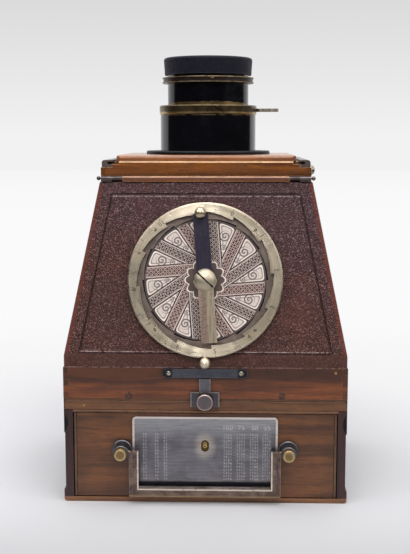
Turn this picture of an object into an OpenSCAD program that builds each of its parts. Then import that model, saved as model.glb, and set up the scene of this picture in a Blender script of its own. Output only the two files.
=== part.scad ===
// Focal plane hand camera for glass plates, standing on its back with the lens up.
// The origin is the centre of the magazine's underside, +Z is up along the lens axis,
// -Y is the face with the speed dial and +X is to the right of someone looking at it.

/* [Magazine] */
// Outer width of the magazine
magazine_w = 160; // [154:1:172]
// Outer depth of the magazine, dial side to tripod side
magazine_d = 128; // [124:1:138]
// Thickness of the bottom board
floor_t = 2.7; // [2.2:0.1:4]
// Height of the space for the drawer
drawer_space_h = 50; // [49:0.1:56]
// Height of the top frame over the drawer
top_frame_h = 8.4; // [7.6:0.1:12]
// Height of the lip under the top frame, between the side boards
lip_h = 1.3; // [0.8:0.1:2]
// Height of the moulding along the top frame's upper edge
moulding_h = 1.5; // [1:0.1:2]
// Thickness of the side and back boards
side_t = 4.6; // [4:0.1:5.4]
// How far the plinth and the bottom board stand out
plinth_out = 1; // [0.4:0.1:2]
// Height of the plinth above the ground
plinth_h = 7.2; // [5:0.1:10]
// Radius of the groove for the runner along each side
grip_r = 9; // [8:0.1:10]
// Depth of the groove for the runner
grip_deep = 2; // [1.5:0.1:2.4]
// Height of the middle of the runner's groove under the drawer's space
grip_drop = 6.4; // [6:0.1:9]
// Radius of the bottom board's lower edges
floor_r = 1.8; // [0.6:0.1:2]

/* [Plates] */
// Length of a glass plate
plate_l = 120; // [110:1:124]
// Width of a glass plate
plate_w = 90; // [80:1:92]
// Thickness of a glass plate
plate_t = 1.5; // [1:0.1:1.6]
// Number of plates in the stack
plate_count = 12; // [4:1:14]
// Step from one sheath to the next
sheath_pitch = 2.2; // [2:0.1:2.4]
// Width of the rim of a sheath around its plate
sheath_rim = 2; // [1.5:0.1:3]
// Thickness of the leaf springs under the stack
spring_t = 0.6; // [0.4:0.1:1]
// Width of a leaf spring
spring_w = 18; // [10:1:26]

/* [Drawer] */
// Gap between the drawer and the boards around it
drawer_gap = 0.6; // [0.4:0.1:0.8]
// Thickness of the drawer's front panel
panel_t = 7; // [6:0.1:9]
// Thickness of the drawer's sides
drawer_side_t = 1.2; // [1:0.1:2]
// Thickness of the drawer's bottom and back
drawer_base_t = 2; // [1.5:0.1:3]
// How far the panel lies behind the front of the magazine
panel_recess = 0.6; // [0:0.1:1.5]
// Width of the exposure table
table_w = 82.8; // [74:0.1:84]
// Height of the exposure table
table_h = 42.2; // [40:0.1:43]
// Thickness of the exposure table's rim
table_t = 1.1; // [0.8:0.1:1.6]
// Depth of the sunk field of the exposure table
table_sink = 0.4; // [0.2:0.1:0.6]
// Width of the exposure table's rim
table_rim = 1.2; // [0.8:0.1:2]
// Height of the exposure table's lower edge above the drawer's lower edge
table_up = 4.9; // [4:0.1:5]

/* [Counter] */
// Radius of the counter wheel
counter_r = 12; // [11:0.1:13]
// Thickness of the counter wheel
counter_t = 1.2; // [0.8:0.1:1.6]
// Number of teeth on the counter wheel
counter_teeth = 24; // [12:1:30]
// Depth of a tooth of the counter wheel
counter_tooth = 0.9; // [0.5:0.1:1.2]
// Radius of the counter wheel's spindle
counter_spindle_r = 1; // [0.8:0.1:1.5]
// Radius at which the figures show
counter_read_r = 8.8; // [8:0.1:9.2]
// Width of the window over the figures
window_w = 4.6; // [4:0.1:5.4]
// Height of the window over the figures
window_h = 6.8; // [6:0.1:7.4]
// Height of the window above the exposure table's lower edge
window_up = 25.2; // [24.6:0.1:27]

/* [Bail] */
// Gap between the exposure table and the blued bosses at its sides
boss_gap = 0.2; // [0.1:0.1:1]
// Height of the pivots above the exposure table's lower edge
bail_up = 22.9; // [22:0.1:25]
// Radius of a blued boss at the panel
boss_r = 5.7; // [5.4:0.1:6.2]
// Thickness of a boss at the panel
boss_t = 2.2; // [1.6:0.1:3]
// Radius of the barrel on a boss
barrel_r = 4.2; // [4:0.1:4.6]
// Height of the barrel's end above the panel
barrel_h = 8.8; // [8.4:0.1:10]
// Bevel of a boss and its barrel
boss_bevel = 0.4; // [0.2:0.1:0.5]
// Radius of a brass knob
stud_r = 3.6; // [3.2:0.1:4]
// Radius of a brass knob's stem
stud_stem_r = 1.5; // [1.2:0.1:1.7]
// Length of a brass knob
stud_l = 4.2; // [3.4:0.1:5]
// Width of the bail's flat bar
bail_bar = 5.3; // [4.6:0.1:6]
// Height of the bail's lower bar
bail_foot = 4.6; // [4:0.1:5.4]
// Thickness of the bail's bar
bail_t = 2.4; // [2:0.1:2.8]
// Distance of the bail's middle from the panel
bail_out = 6.2; // [5.8:0.1:6.6]
// Height of the bail's lower edge above the drawer's lower edge
bail_low = 2.1; // [1:0.1:3]
// Radius of the bail's pivot pins
bail_pin_r = 1.2; // [1:0.1:1.4]
// Gap between the bail and its bosses
bail_side_gap = 0.35; // [0.3:0.05:0.5]

/* [Base rail] */
// Height of the rail round the shutter
rail_h = 17.7; // [16:0.1:20]
// How far the rail stands out over the magazine
rail_out = 0.5; // [0.2:0.1:1]
// Thickness of the front and back rails
rail_t = 6; // [5.6:0.1:8]
// Thickness of the side rails
rail_side_t = 3.2; // [2.6:0.1:4]
// Number of fingers in a corner joint
finger_count = 5; // [3:2:7]

/* [Shutter] */
// Radius of a blind roller with its cloth wound on
roller_r = 5.6; // [4.6:0.1:5.8]
// Radius of a roller's pivots
roller_pin_r = 1.5; // [1:0.1:2]
// Distance of each roller from the side rail
roller_inset = 8.6; // [7.4:0.1:10]
// Thickness of the slit carriage
carriage_t = 1.4; // [1:0.1:1.6]
// Width of the slit carriage
carriage_w = 16; // [12:0.1:20]
// Width of the slit
slit_w = 5; // [2:0.1:8]
// Height of the slit carriage above the magazine
carriage_up = 0.9; // [0.7:0.1:1.2]
// Travel of the slit carriage, which rests at the left end
carriage_travel = 120; // [100:1:126]
// Thickness of the board over the shutter
shutter_board_t = 3; // [2:0.1:5]

/* [Body] */
// Height of the upright band of the body
band_h = 6.4; // [5:0.1:10]
// Height of the tapered part of the body
cone_h = 97.7; // [92:0.1:110]
// How far the leather of the body stands out over the magazine
band_out = 0.3; // [0.1:0.1:0.5]
// Width of the body at its top
cone_top_w = 121; // [120:0.1:126]
// Depth of the body at its top
cone_top_d = 96; // [95:0.1:104]
// Thickness of the body's boards
board_t = 5; // [4:0.1:6]
// Thickness of the leather
leather_t = 0.8; // [0.7:0.1:1]
// Radius of the leather over the edges
leather_r = 2.5; // [1.5:0.1:2.6]

/* [Dial] */
// Height of the dial's centre above the upright band
dial_up = 42.7; // [42:0.1:48]
// Outer radius of the scale ring
ring_r = 43.7; // [43:0.1:45]
// Height of the scale ring's lower face above the leather
ring_lift = 1.5; // [1.5:0.1:2]
// Thickness of the scale ring
ring_t = 2.8; // [2.6:0.1:3.4]
// Width of the scale ring's bevel
ring_bevel = 0.8; // [0.4:0.1:1.2]
// Inner radius of the scale ring at its lips
lip_r = 36.8; // [36.4:0.1:37.2]
// Number of steps round the dial
dial_steps = 12; // [8:1:16]
// Depth of a step in the scale ring's lip
step_deep = 2.2; // [1.4:0.1:2.4]
// Turn of the steps round the dial, in degrees
step_turn = 5.7; // [0:0.1:15]
// Radius of the ball grips
ball_r = 3.25; // [2.6:0.1:3.3]
// Distance of the ring's ball beyond the ring
ring_ball_out = 3; // [2.8:0.1:3.6]
// Radius of the neck that carries the ring's ball
ball_neck_r = 1; // [0.8:0.1:1.2]
// Thickness of the dial's base plate
dial_base_t = 1.4; // [1:0.1:1.4]
// Thickness of the stepped ring round the printed disc
step_ring_t = 0.8; // [0.5:0.1:1.2]
// Radius of the printed disc
disc_r = 34.2; // [33:0.1:34.2]
// Thickness of the printed disc
disc_t = 0.8; // [0.5:0.1:1]
// Width of the pointer's bars
pointer_w = 8.7; // [7:0.1:10]
// Thickness of the pointer's bars
pointer_t = 1.2; // [1:0.1:1.6]
// Gap between the scale ring and the pointer's bars
pointer_gap = 0.4; // [0.3:0.1:0.8]
// Lean of the pointer from upright, in degrees
pointer_lean = 4.3; // [0:0.1:15]
// Length of the light bar from the centre
index_l = 35.4; // [30:0.1:36]
// Distance of the pointer's ball from the centre
pointer_ball_at = 37.4; // [36:0.1:38]
// Radius of the centre screw's head
centre_r = 6.2; // [5:0.1:7]
// Height of the centre screw's domed head
centre_h = 3.2; // [2.4:0.1:4]
// Width of the slot in the centre screw
slot_w = 0.9; // [0.6:0.1:1.2]
// Radius of the dial's spindle
spindle_r = 3; // [2:0.1:3.4]

/* [Latch] */
// Length of the latch's crossbar
crossbar_l = 48; // [40:0.1:56]
// Height of the latch's crossbar
crossbar_h = 5.7; // [5:0.1:6.4]
// Thickness of the latch's steel
latch_t = 1.2; // [0.8:0.1:1.6]
// Distance between the crossbar's two screws
crossbar_pitch = 41; // [34:0.1:44]
// Radius of the crossbar's screws
crossbar_screw_r = 1.3; // [1:0.1:1.6]
// Width of the latch's tongue
tongue_w = 6.3; // [5:0.1:9]
// Width of the plate at the tongue's end
tongue_plate_w = 16.4; // [12:0.1:20]
// Height of the plate at the tongue's end
tongue_plate_h = 8.6; // [7:0.1:9]
// How far the tongue's plate reaches below the base rail
tongue_drop = 4.4; // [3.8:0.1:5]
// Radius of the latch's knob
knob_r = 4.7; // [4:0.1:5]
// Height of the latch's knob above its pin
knob_up = 1.1; // [0:0.1:1.6]
// Height of the latch's knob
knob_h = 5; // [4:0.1:7]
// Radius of the latch's pin
latch_pin_r = 0.9; // [0.8:0.1:1.1]
// Height of the latch's pin under the base rail
latch_pin_drop = 1.9; // [1.8:0.1:2.4]
// Length of the latch's pin behind its plate
latch_pin_l = 2.8; // [2.4:0.1:3]
// Gap between the latch's tongue and the wood behind it
latch_gap = 0.3; // [0.3:0.1:0.6]

/* [Lens frame] */
// Gap between the body and the hinged frame
frame_gap = 0.5; // [0.4:0.1:1]
// Width of the hinged frame
frame_w = 119.4; // [117:0.1:120]
// Depth of the hinged frame
frame_d = 95; // [92:0.1:95]
// Height of the hinged frame
frame_h = 10.9; // [10:0.1:14]
// Radius of the hole in the hinged frame
frame_hole_r = 34; // [31:0.1:38]
// Radius of the bead and the knuckles along the front edge
bead_r = 1.2; // [1:0.1:1.3]
// Length of each pair of knuckles
knuckle_l = 12; // [10:0.1:16]
// Radius of the hinge pins
hinge_pin_r = 0.6; // [0.5:0.1:0.7]
// How far the hinge pins stand out at the sides
hinge_pin_out = 2.4; // [2:0.1:4]
// Width of a guide rail
guide_w = 5.8; // [5:0.1:6.4]
// Height of a guide rail
guide_h = 4.2; // [3.9:0.1:4.4]
// How far a guide rail stands over the frame
guide_up = 0.8; // [0.7:0.1:1]
// Height of the sliding tongues
tongue_t = 1.4; // [1:0.1:1.5]
// How far the sliding tongues reach into the guide rails
tongue_reach = 2.4; // [1.6:0.1:2.8]
// Radius of the board's lock knob
lock_r = 3.4; // [3:0.1:4]
// Height of the board's lock knob
lock_h = 5.4; // [4:0.1:7]
// Radius of the lock knob's stem
lock_stem_r = 1.5; // [1:0.1:2]

/* [Lens board] */
// Width of the sliding board
lens_board_w = 103; // [100:0.1:104]
// Depth of the sliding board
lens_board_d = 86; // [80:0.1:90]
// Thickness of the sliding board
lens_board_t = 3.4; // [3:0.1:5]
// Radius of the sliding board's corners
lens_board_r = 3; // [1:0.1:5]
// Radius of the sliding board's upper edges
lens_board_edge = 1.8; // [0.6:0.1:2.4]

/* [Lens] */
// Radius of the flange
flange_r = 37.4; // [34:0.1:39]
// Thickness of the flange
flange_t = 2; // [1.6:0.1:3]
// Outer radius of the mount
mount_r = 28.8; // [28.4:0.1:30]
// Height of the mount above the flange
mount_h = 21.5; // [20:0.1:26]
// Outer radius of the guide at the lens tube's lower end
guide_r = 25.6; // [25.2:0.1:26]
// Outer radius of the focusing ring
focus_r = 29.3; // [28.8:0.1:31]
// Height of the focusing ring
focus_h = 5.4; // [4.6:0.1:7]
// Distance of the focusing lever's tip from the axis
lever_reach = 42.5; // [36:0.1:46]
// Outer radius of the lens tube
tube_r = 24.35; // [23.8:0.05:24.6]
// Inner radius of the lens tube
tube_bore_r = 21.5; // [20:0.1:22]
// Height of the lens tube above the focusing ring
tube_h = 13.2; // [12:0.1:18]
// Travel of the lens tube when focusing
focus_travel = 4.2; // [2:0.1:5]
// Thickness of the front glass at its edge
front_glass_t = 6; // [4:0.1:8]
// Height of the front glass's dome
front_glass_dome = 3; // [1.5:0.1:5]
// Thickness of the rear glass at its edge
rear_glass_t = 4; // [3:0.1:8]
// Height of the rear glass's dome
rear_glass_dome = 2; // [1:0.1:5]
// Outer radius of the iris ring
iris_r = 27.5; // [26:0.1:28.5]
// Height of the iris ring
iris_h = 3.4; // [2.6:0.1:5]
// Radius of the rim round the front glass
rim_r = 24.6; // [24.2:0.05:24.7]
// Height of the rim round the front glass
rim_h = 9.5; // [8.6:0.1:12]
// Gap between the iris ring and the cap
cap_lift = 1.5; // [0.8:0.1:2.5]
// Radius of the cap at its mouth
cap_r = 26.1; // [25.9:0.05:26.6]
// How much wider the cap is at its top
cap_flare = 0.55; // [0:0.05:1]
// Height of the cap
cap_h = 10.1; // [9.2:0.1:13]
// Radius of the cap's upper edge
cap_edge_r = 1.6; // [0.8:0.1:2]
// Gap between the cap and the rim
cap_gap = 0.3; // [0.3:0.05:0.5]

/* [Tripod bush] */
// Radius of the tripod bush's bore
bush_bore_r = 4.1; // [3:0.1:4.5]
// Radius of the tripod bush's flange
bush_flange_r = 7; // [6:0.1:7.4]
// Radius of the tripod bush's body
bush_body_r = 5.2; // [5:0.05:5.3]
// Length of the tripod bush
bush_l = 10; // [8:0.1:11]

/* [Hidden] */
$fn = 64;

// Clearances and small shared sizes.
running_fit = 0.1;
pin_fit = 0.05;
free_gap = 0.5;
blind_wood = 2;
beyond = 1;

// Heights, one on top of the other.
drawer_top_z = floor_t + drawer_space_h;
side_top_z = drawer_top_z + lip_h;
magazine_h = drawer_top_z + top_frame_h;
rail_top_z = magazine_h + rail_h;
break_z = rail_top_z + band_h;
cone_top_z = break_z + cone_h;
frame_z = cone_top_z + frame_gap;
frame_top_z = frame_z + frame_h;
lens_board_z = frame_top_z + running_fit;
flange_z = lens_board_z + lens_board_t;
mount_z = flange_z + flange_t;
focus_z = mount_z + mount_h;
focus_top_z = focus_z + focus_h;
tube_top_z = focus_top_z + tube_h;
iris_top_z = tube_top_z + iris_h;
cap_z = iris_top_z + cap_lift;

// Plans, from the magazine outwards.
magazine_x = magazine_w / 2;
magazine_y = magazine_d / 2;
side_in_x = magazine_x - side_t;
back_in_y = magazine_y - side_t;
groove_x = magazine_x - grip_deep + grip_r;
groove_z = drawer_top_z - grip_drop;
rail_x = magazine_x + rail_out;
rail_y = magazine_y + rail_out;
band_x = magazine_x + band_out;
band_y = magazine_y + band_out;
rail_in_y = rail_y - rail_t;
rail_in_x = rail_x - rail_side_t;
cone_top_x = cone_top_w / 2;
cone_top_y = cone_top_d / 2;
front_tilt = atan((band_y - cone_top_y) / cone_h);
side_tilt = atan((band_x - cone_top_x) / cone_h);

// Drawer, seen from its front.
panel_y = -(magazine_y - panel_recess);
panel_back_y = panel_y + panel_t;
drawer_z = floor_t + drawer_gap;
drawer_h = drawer_space_h - 2 * drawer_gap;
drawer_x = side_in_x - drawer_gap;
panel_x = drawer_x - drawer_side_t;
tray_back_y = back_in_y - 2 * drawer_gap;
tray_floor_z = drawer_z + drawer_base_t;
table_z = drawer_z + table_up;
pivot_z = table_z + bail_up;
window_z = table_z + window_up;
counter_z = window_z - counter_read_r;
counter_well_r = counter_r + free_gap;
counter_well_deep = counter_t + 2 * free_gap;
table_field_t = table_t - table_sink;
pivot_y = panel_y - bail_out;
bail_span = table_w + 2 * (boss_r + boss_gap);
boss_flat = 0.1;
boss_flat_x = bail_span / 2 - barrel_r + boss_flat;
bail_x = boss_flat_x - bail_side_gap;
bail_pin_x = bail_span / 2 - stud_stem_r - bail_side_gap;

// Plates, pressed up against the top frame.
sheath_l = plate_l + 2 * sheath_rim;
sheath_w = plate_w + 2 * sheath_rim;
sheath_t = sheath_pitch - 0.2;
stack_top_z = drawer_z + drawer_h;
stack_z = stack_top_z - plate_count * sheath_pitch;
spring_rise = stack_z - tray_floor_z;
spring_half = sheath_l / 2 - sheath_rim;
spring_arc_r = (spring_half * spring_half + spring_rise * spring_rise) / (2 * spring_rise);
plate_ledge = 2;
plate_opening_l = plate_l - 2 * plate_ledge;
plate_opening_w = plate_w - 2 * plate_ledge;

// Shutter.
roller_x = rail_in_x - roller_inset;
carriage_z = magazine_h + carriage_up;
carriage_groove = 2;
roller_z = carriage_z + carriage_t + free_gap + roller_r;
bearing_deep = 3;
bush_z = magazine_h + rail_h / 2;
carriage_y = rail_in_y + carriage_groove - free_gap;

// Dial, in its own plane: local +Z points out of the leather.
dial_z = break_z + dial_up;
dial_y = -(band_y - dial_up * tan(front_tilt));
step_ring_r = lip_r + step_deep + 0.6;
ring_lip_t = ring_t / 2 - running_fit;
dial_base_r = ring_r - ring_bevel - 0.3;
ring_top_h = ring_lift + ring_t;
pointer_h = ring_top_h + pointer_gap;
pointer_top_h = pointer_h + pointer_t;
hub_r = centre_r + 0.4;
spindle_in = leather_t + board_t + free_gap;

// Latch, on the front of the base rail.
crossbar_z = rail_top_z - crossbar_h;
tongue_y = -(rail_y + latch_gap);
tongue_z = magazine_h - tongue_drop;
latch_pin_z = magazine_h - latch_pin_drop;
latch_hole_r = latch_pin_r + free_gap;
latch_hole_deep = 5;

// Hinge of the lens frame and its sliding board.
frame_x = frame_w / 2;
frame_y = frame_d / 2;
hinge_y = -(frame_y + free_gap);
hinge_z = frame_z + bead_r + 2 * running_fit;
hinge_cut_r = bead_r + 3.5 * running_fit;
knuckle_out_x = frame_x - 2 * running_fit;
knuckle_mid_x = knuckle_out_x - knuckle_l / 2;
knuckle_in_x = knuckle_out_x - knuckle_l;
knuckle_gap = 0.3;
leaf_l = knuckle_l / 2 - 2 * knuckle_gap;
leaf_x = knuckle_mid_x - knuckle_l / 4;
leaf_w = 6;
leaf_t = 0.8;
guide_z = frame_top_z + guide_up - guide_h;
guide_in_x = frame_x - 0.6 - guide_w;
slide_groove_z = frame_top_z - tongue_t - 2 * running_fit;
slide_root = 3.8;
lock_z = guide_z - lock_r + free_gap;
lock_hole_deep = 9;

// Lens.
foot_up = 2;
tube_foot_z = mount_z + foot_up;
sleeve_cut = 0.9;
sleeve_r = tube_r - sleeve_cut;
spigot_r = guide_r + 0.5;
rim_z = iris_top_z + running_fit;

// Outline of a saw-toothed circle: each tooth climbs from low_r to high_r and drops back.
function saw(teeth, low_r, high_r, steps) = [
    for (i = [0:teeth - 1]) for (j = [0:steps])
        let (a = 360 * (i + j / steps) / teeth, r = low_r + (high_r - low_r) * j / steps)
            [r * cos(a), r * sin(a)]
];

module rounded_rect(w, h, r) {
    square([w - 2 * r, h], center = true);
    square([w, h - 2 * r], center = true);
    for (x = [-1, 1]) for (y = [-1, 1])
        translate([x * (w / 2 - r), y * (h / 2 - r)]) circle(r);
}

// Upright section from low to high, w wide, with its two upper corners rounded.
module round_topped(w, low, high, r) {
    translate([-w / 2, low]) square([w, high - low - r]);
    translate([r - w / 2, low]) square([w - 2 * r, high - low]);
    for (x = [-1, 1]) intersection() {
        translate([x * (w / 2 - r), high - r]) circle(r, $fn = 48);
        translate([-w / 2, high - r]) square([w, r]);
    }
}

// A block given by its least and greatest corners.
module block(low, high) {
    translate(low) cube(high - low);
}

// Children drawn in x and z, extruded along Y about the middle.
module along_y(length) {
    rotate([90, 0, 0]) linear_extrude(length, center = true) children();
}

// Children drawn in y and z, extruded along X about the middle.
module along_x(length) {
    rotate([90, 0, 90]) linear_extrude(length, center = true) children();
}

// Places children on an upright front face: local +Z points towards -Y.
module on_front(y) {
    translate([0, y, 0]) rotate([90, 0, 0]) children();
}

// Places children on the dial's axis: local +Z points out of the sloping front.
module on_dial() {
    translate([0, dial_y, dial_z]) rotate([90 - front_tilt, 0, 0]) children();
}

module mirrored_x() {
    children();
    mirror([1, 0, 0]) children();
}

// Upright section of the body, half width low_x at the band and high_x at the top.
module body_section(low_x, high_x, drop, rise) {
    slope = (low_x - high_x) / cone_h;
    polygon([
        [-low_x, rail_top_z - drop], [low_x, rail_top_z - drop], [low_x, break_z],
        [high_x - slope * rise, cone_top_z + rise], [-high_x + slope * rise, cone_top_z + rise],
        [-low_x, break_z]
    ]);
}

// Prism of the body's width, inset from the leather, running right through along Y.
module width_prism(inset, over = 0) {
    shift = inset / cos(side_tilt);
    along_y(2 * magazine_d) body_section(band_x - inset, cone_top_x - shift, over, over);
}

// Prism of the body's depth, inset from the leather, running right through along X.
module depth_prism(inset, over = 0) {
    shift = inset / cos(front_tilt);
    along_x(2 * magazine_w) body_section(band_y - inset, cone_top_y - shift, over, over);
}

module magazine_floor() {
    color("#8a5a34") along_y(magazine_d) mirror([0, 1])
        round_topped(magazine_w + 2 * plinth_out, -floor_t, 0, floor_r);
}

module magazine_side() {
    color("#4a2c26") along_y(magazine_d) difference() {
        polygon([
            [side_in_x, floor_t], [magazine_x + plinth_out, floor_t],
            [magazine_x + plinth_out, plinth_h], [magazine_x, plinth_h + plinth_out / 2],
            [magazine_x, side_top_z], [side_in_x, side_top_z]
        ]);
        translate([groove_x, groove_z]) circle(grip_r);
    }
}

module magazine_side_right() {
    magazine_side();
}

module magazine_side_left() {
    mirror([1, 0, 0]) magazine_side();
}

// Blackened runner of the camera: a strip under the rail with a rounded tongue in the groove.
module runner() {
    reach = groove_x - magazine_x;
    strip_z = groove_z - sqrt(grip_r * grip_r - reach * reach);
    color("#1c1a1c") along_y(magazine_d) {
        translate([magazine_x, strip_z]) square([rail_out, magazine_h - strip_z]);
        intersection() {
            translate([groove_x, groove_z]) circle(grip_r - running_fit);
            translate([magazine_x - grip_deep, strip_z])
                square([grip_deep + rail_out / 2, 2 * grip_r]);
        }
    }
}

module runner_right() {
    runner();
}

module runner_left() {
    mirror([1, 0, 0]) runner();
}

module magazine_back() {
    color("#6e4226")
        block([-side_in_x, back_in_y, floor_t], [side_in_x, magazine_y, drawer_top_z]);
}

// Top frame, with a lip between the side boards and two fine grooves in front and behind.
module magazine_top() {
    line_w = 0.6;
    color("#84522c") difference() {
        union() {
            block([-magazine_x, -magazine_y, side_top_z], [magazine_x, magazine_y, magazine_h]);
            block([-side_in_x, -magazine_y, drawer_top_z], [side_in_x, magazine_y, side_top_z]);
        }
        for (y = [-1, 1]) for (z = [side_top_z, magazine_h - moulding_h])
            translate([0, y * magazine_y, z]) rotate([45, 0, 0])
                cube([2 * magazine_w, line_w, line_w], center = true);
        block(
            [-plate_opening_l / 2, -plate_opening_w / 2, drawer_top_z - beyond],
            [plate_opening_l / 2, plate_opening_w / 2, magazine_h + beyond]
        );
        translate([0, 0, latch_pin_z]) on_front(-magazine_y + latch_hole_deep)
            cylinder(h = latch_hole_deep + beyond, r = latch_hole_r);
    }
}

// The front panel, with the well for the counter wheel behind the exposure table.
module drawer_front() {
    line_w = 0.5;
    line_deep = 1;
    color("#74452a") difference() {
        block([-panel_x, panel_y, drawer_z], [panel_x, panel_back_y, drawer_z + drawer_h]);
        mirrored_x() block(
            [panel_x - line_w, panel_y - beyond, 0], [magazine_x, panel_y + line_deep, magazine_h]
        );
        translate([0, 0, counter_z]) on_front(panel_y + counter_well_deep)
            cylinder(h = counter_well_deep + beyond, r = counter_well_r);
        translate([0, 0, counter_z]) on_front(panel_back_y - blind_wood)
            cylinder(h = panel_t, r = counter_spindle_r + pin_fit);
        mirrored_x() translate([bail_span / 2, 0, pivot_z]) on_front(panel_back_y - blind_wood)
            cylinder(h = panel_t, r = stud_stem_r);
    }
}

module drawer_tray() {
    color("#5c3a28") {
        mirrored_x() block(
            [panel_x, panel_y, drawer_z], [drawer_x, tray_back_y, drawer_z + drawer_h]
        );
        block([-panel_x, panel_back_y, drawer_z], [panel_x, tray_back_y, tray_floor_z]);
        block(
            [-panel_x, tray_back_y - drawer_base_t, drawer_z],
            [panel_x, tray_back_y, drawer_z + drawer_h]
        );
    }
}

// Engraved plate with a raised rim, rounded upper corners and the counter's window.
module exposure_table() {
    corner_r = 2.4;
    color("#8c8c92") translate([0, 0, table_z + table_h / 2]) on_front(panel_y) difference() {
        linear_extrude(table_t) union() {
            rounded_rect(table_w, table_h, corner_r);
            translate([-table_w / 2, -table_h / 2]) square([table_w, 2 * corner_r]);
        }
        translate([0, 0, table_field_t])
            linear_extrude(table_t) union() {
                rounded_rect(table_w - 2 * table_rim, table_h - 2 * table_rim, corner_r - table_rim);
                translate([-table_w / 2 + table_rim, -table_h / 2 + table_rim])
                    square([table_w - 2 * table_rim, corner_r]);
            }
        translate([0, window_up - table_h / 2, -beyond]) linear_extrude(table_t + 2 * beyond) {
            translate([0, (window_h - window_w) / 2]) circle(window_w / 2);
            translate([0, -(window_h - window_w) / 2]) circle(window_w / 2);
            square([window_w, window_h - window_w], center = true);
        }
    }
}

module counter_wheel() {
    spindle_l = panel_t - blind_wood - 2 * free_gap;
    color("#b08d4a") translate([0, 0, counter_z]) on_front(panel_y) {
        translate([0, 0, -free_gap - counter_t]) linear_extrude(counter_t)
            polygon(saw(counter_teeth, counter_r - counter_tooth, counter_r, 1));
        translate([0, 0, -free_gap - spindle_l]) cylinder(h = spindle_l, r = counter_spindle_r);
    }
}

// Shallow steel tray for one plate, with its rim standing over the plate's edge.
module sheath() {
    tray_t = sheath_t - plate_t;
    difference() {
        block([-sheath_l / 2, -sheath_w / 2, 0], [sheath_l / 2, sheath_w / 2, sheath_t]);
        block([-plate_l / 2, -plate_w / 2, tray_t], [plate_l / 2, plate_w / 2, sheath_t + beyond]);
    }
}

module plate_sheaths() {
    color("#2a2a2c") for (i = [0:plate_count - 1])
        translate([0, 0, stack_z + i * sheath_pitch]) sheath();
}

module glass_plates() {
    color("#c9d2cc") for (i = [0:plate_count - 1])
        translate([0, 0, stack_z + i * sheath_pitch + sheath_t - plate_t])
            block([-plate_l / 2, -plate_w / 2, 0], [plate_l / 2, plate_w / 2, plate_t]);
}

// Two bowed leaf springs that lift the stack from the drawer's bottom.
module pressure_springs() {
    color("#5a5c60") for (y = [-1, 1]) translate([0, y * plate_w / 4, 0])
        along_y(spring_w) intersection() {
            translate([0, stack_z - spring_arc_r]) difference() {
                circle(spring_arc_r, $fn = 180);
                circle(spring_arc_r - spring_t, $fn = 180);
            }
            translate([-spring_half - beyond, tray_floor_z])
                square([2 * (spring_half + beyond), spring_rise + beyond]);
        }
}

// Blued bosses: a disc on the panel and a barrel, cut flat where the bail hangs.
module bail_bosses() {
    color("#2b2f3a") mirrored_x() difference() {
        translate([bail_span / 2, 0, pivot_z]) on_front(panel_y) rotate_extrude() polygon([
            [0, 0], [boss_r, 0], [boss_r, boss_t - boss_bevel], [boss_r - boss_bevel, boss_t],
            [barrel_r, boss_t], [barrel_r, barrel_h - boss_bevel], [barrel_r - boss_bevel, barrel_h],
            [0, barrel_h]
        ]);
        block(
            [0, panel_y - barrel_h - beyond, pivot_z - boss_r - beyond],
            [boss_flat_x, panel_y - boss_t, pivot_z + boss_r + beyond]
        );
        translate([boss_flat_x - beyond, pivot_y, pivot_z]) rotate([0, 90, 0])
            cylinder(h = barrel_r + beyond, r = bail_pin_r + pin_fit);
        translate([bail_span / 2, 0, pivot_z]) on_front(panel_y)
            translate([0, 0, -beyond]) cylinder(h = barrel_h + 2 * beyond, r = stud_stem_r);
    }
}

// Turned brass knobs, each with a stem through its boss into the panel.
module bail_knobs() {
    edge = 0.8;
    color("#b3945a") mirrored_x() translate([bail_span / 2, 0, pivot_z]) on_front(panel_y)
        rotate_extrude() {
            translate([0, barrel_h]) square([stud_r - edge, stud_l]);
            translate([0, barrel_h + edge]) square([stud_r, stud_l - 2 * edge]);
            translate([stud_r - edge, barrel_h + edge]) circle(edge, $fn = 32);
            translate([stud_r - edge, barrel_h + stud_l - edge]) circle(edge, $fn = 32);
            translate([0, blind_wood - panel_t]) square([stud_stem_r, barrel_h + panel_t - blind_wood]);
        }
}

// Flat bar bent into a square loop, with a pivot pin at the top of each upright.
module bail_handle() {
    over_pin = 0.7;
    sunk = 0.5;
    low_z = drawer_z + bail_low;
    top_z = pivot_z + over_pin;
    color("#7d6a55") {
        translate([0, pivot_y, 0]) along_y(bail_t) difference() {
            translate([-bail_x, low_z]) square([2 * bail_x, top_z - low_z]);
            translate([-bail_x + bail_bar, low_z + bail_foot])
                square([2 * (bail_x - bail_bar), top_z]);
        }
        mirrored_x() translate([bail_x - sunk, pivot_y, pivot_z]) rotate([0, 90, 0])
            cylinder(h = bail_pin_x - bail_x + sunk, r = bail_pin_r);
    }
}

// Height of the lower edge of one finger of a corner joint.
function finger_z(i) = magazine_h + i * rail_h / finger_count;

// The fingers of the side rails: every other one, starting with the lowest.
module side_fingers() {
    for (i = [0:2:finger_count - 1]) for (y = [-1, 1])
        translate([0, y * (rail_y - rail_t / 2), finger_z(i) + rail_h / finger_count / 2])
            cube([2 * rail_side_t, rail_t, rail_h / finger_count], center = true);
}

module side_rail() {
    intersection() {
        block([rail_in_x, -rail_y, magazine_h], [rail_x, rail_y, rail_top_z]);
        union() {
            block([rail_in_x, -rail_in_y, magazine_h], [rail_x, rail_in_y, rail_top_z]);
            translate([rail_x, 0, 0]) side_fingers();
        }
    }
}

module base_rail_right() {
    color("#6b3d22") side_rail();
}

module base_rail_left() {
    color("#6b3d22") mirror([1, 0, 0]) side_rail();
}

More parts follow.
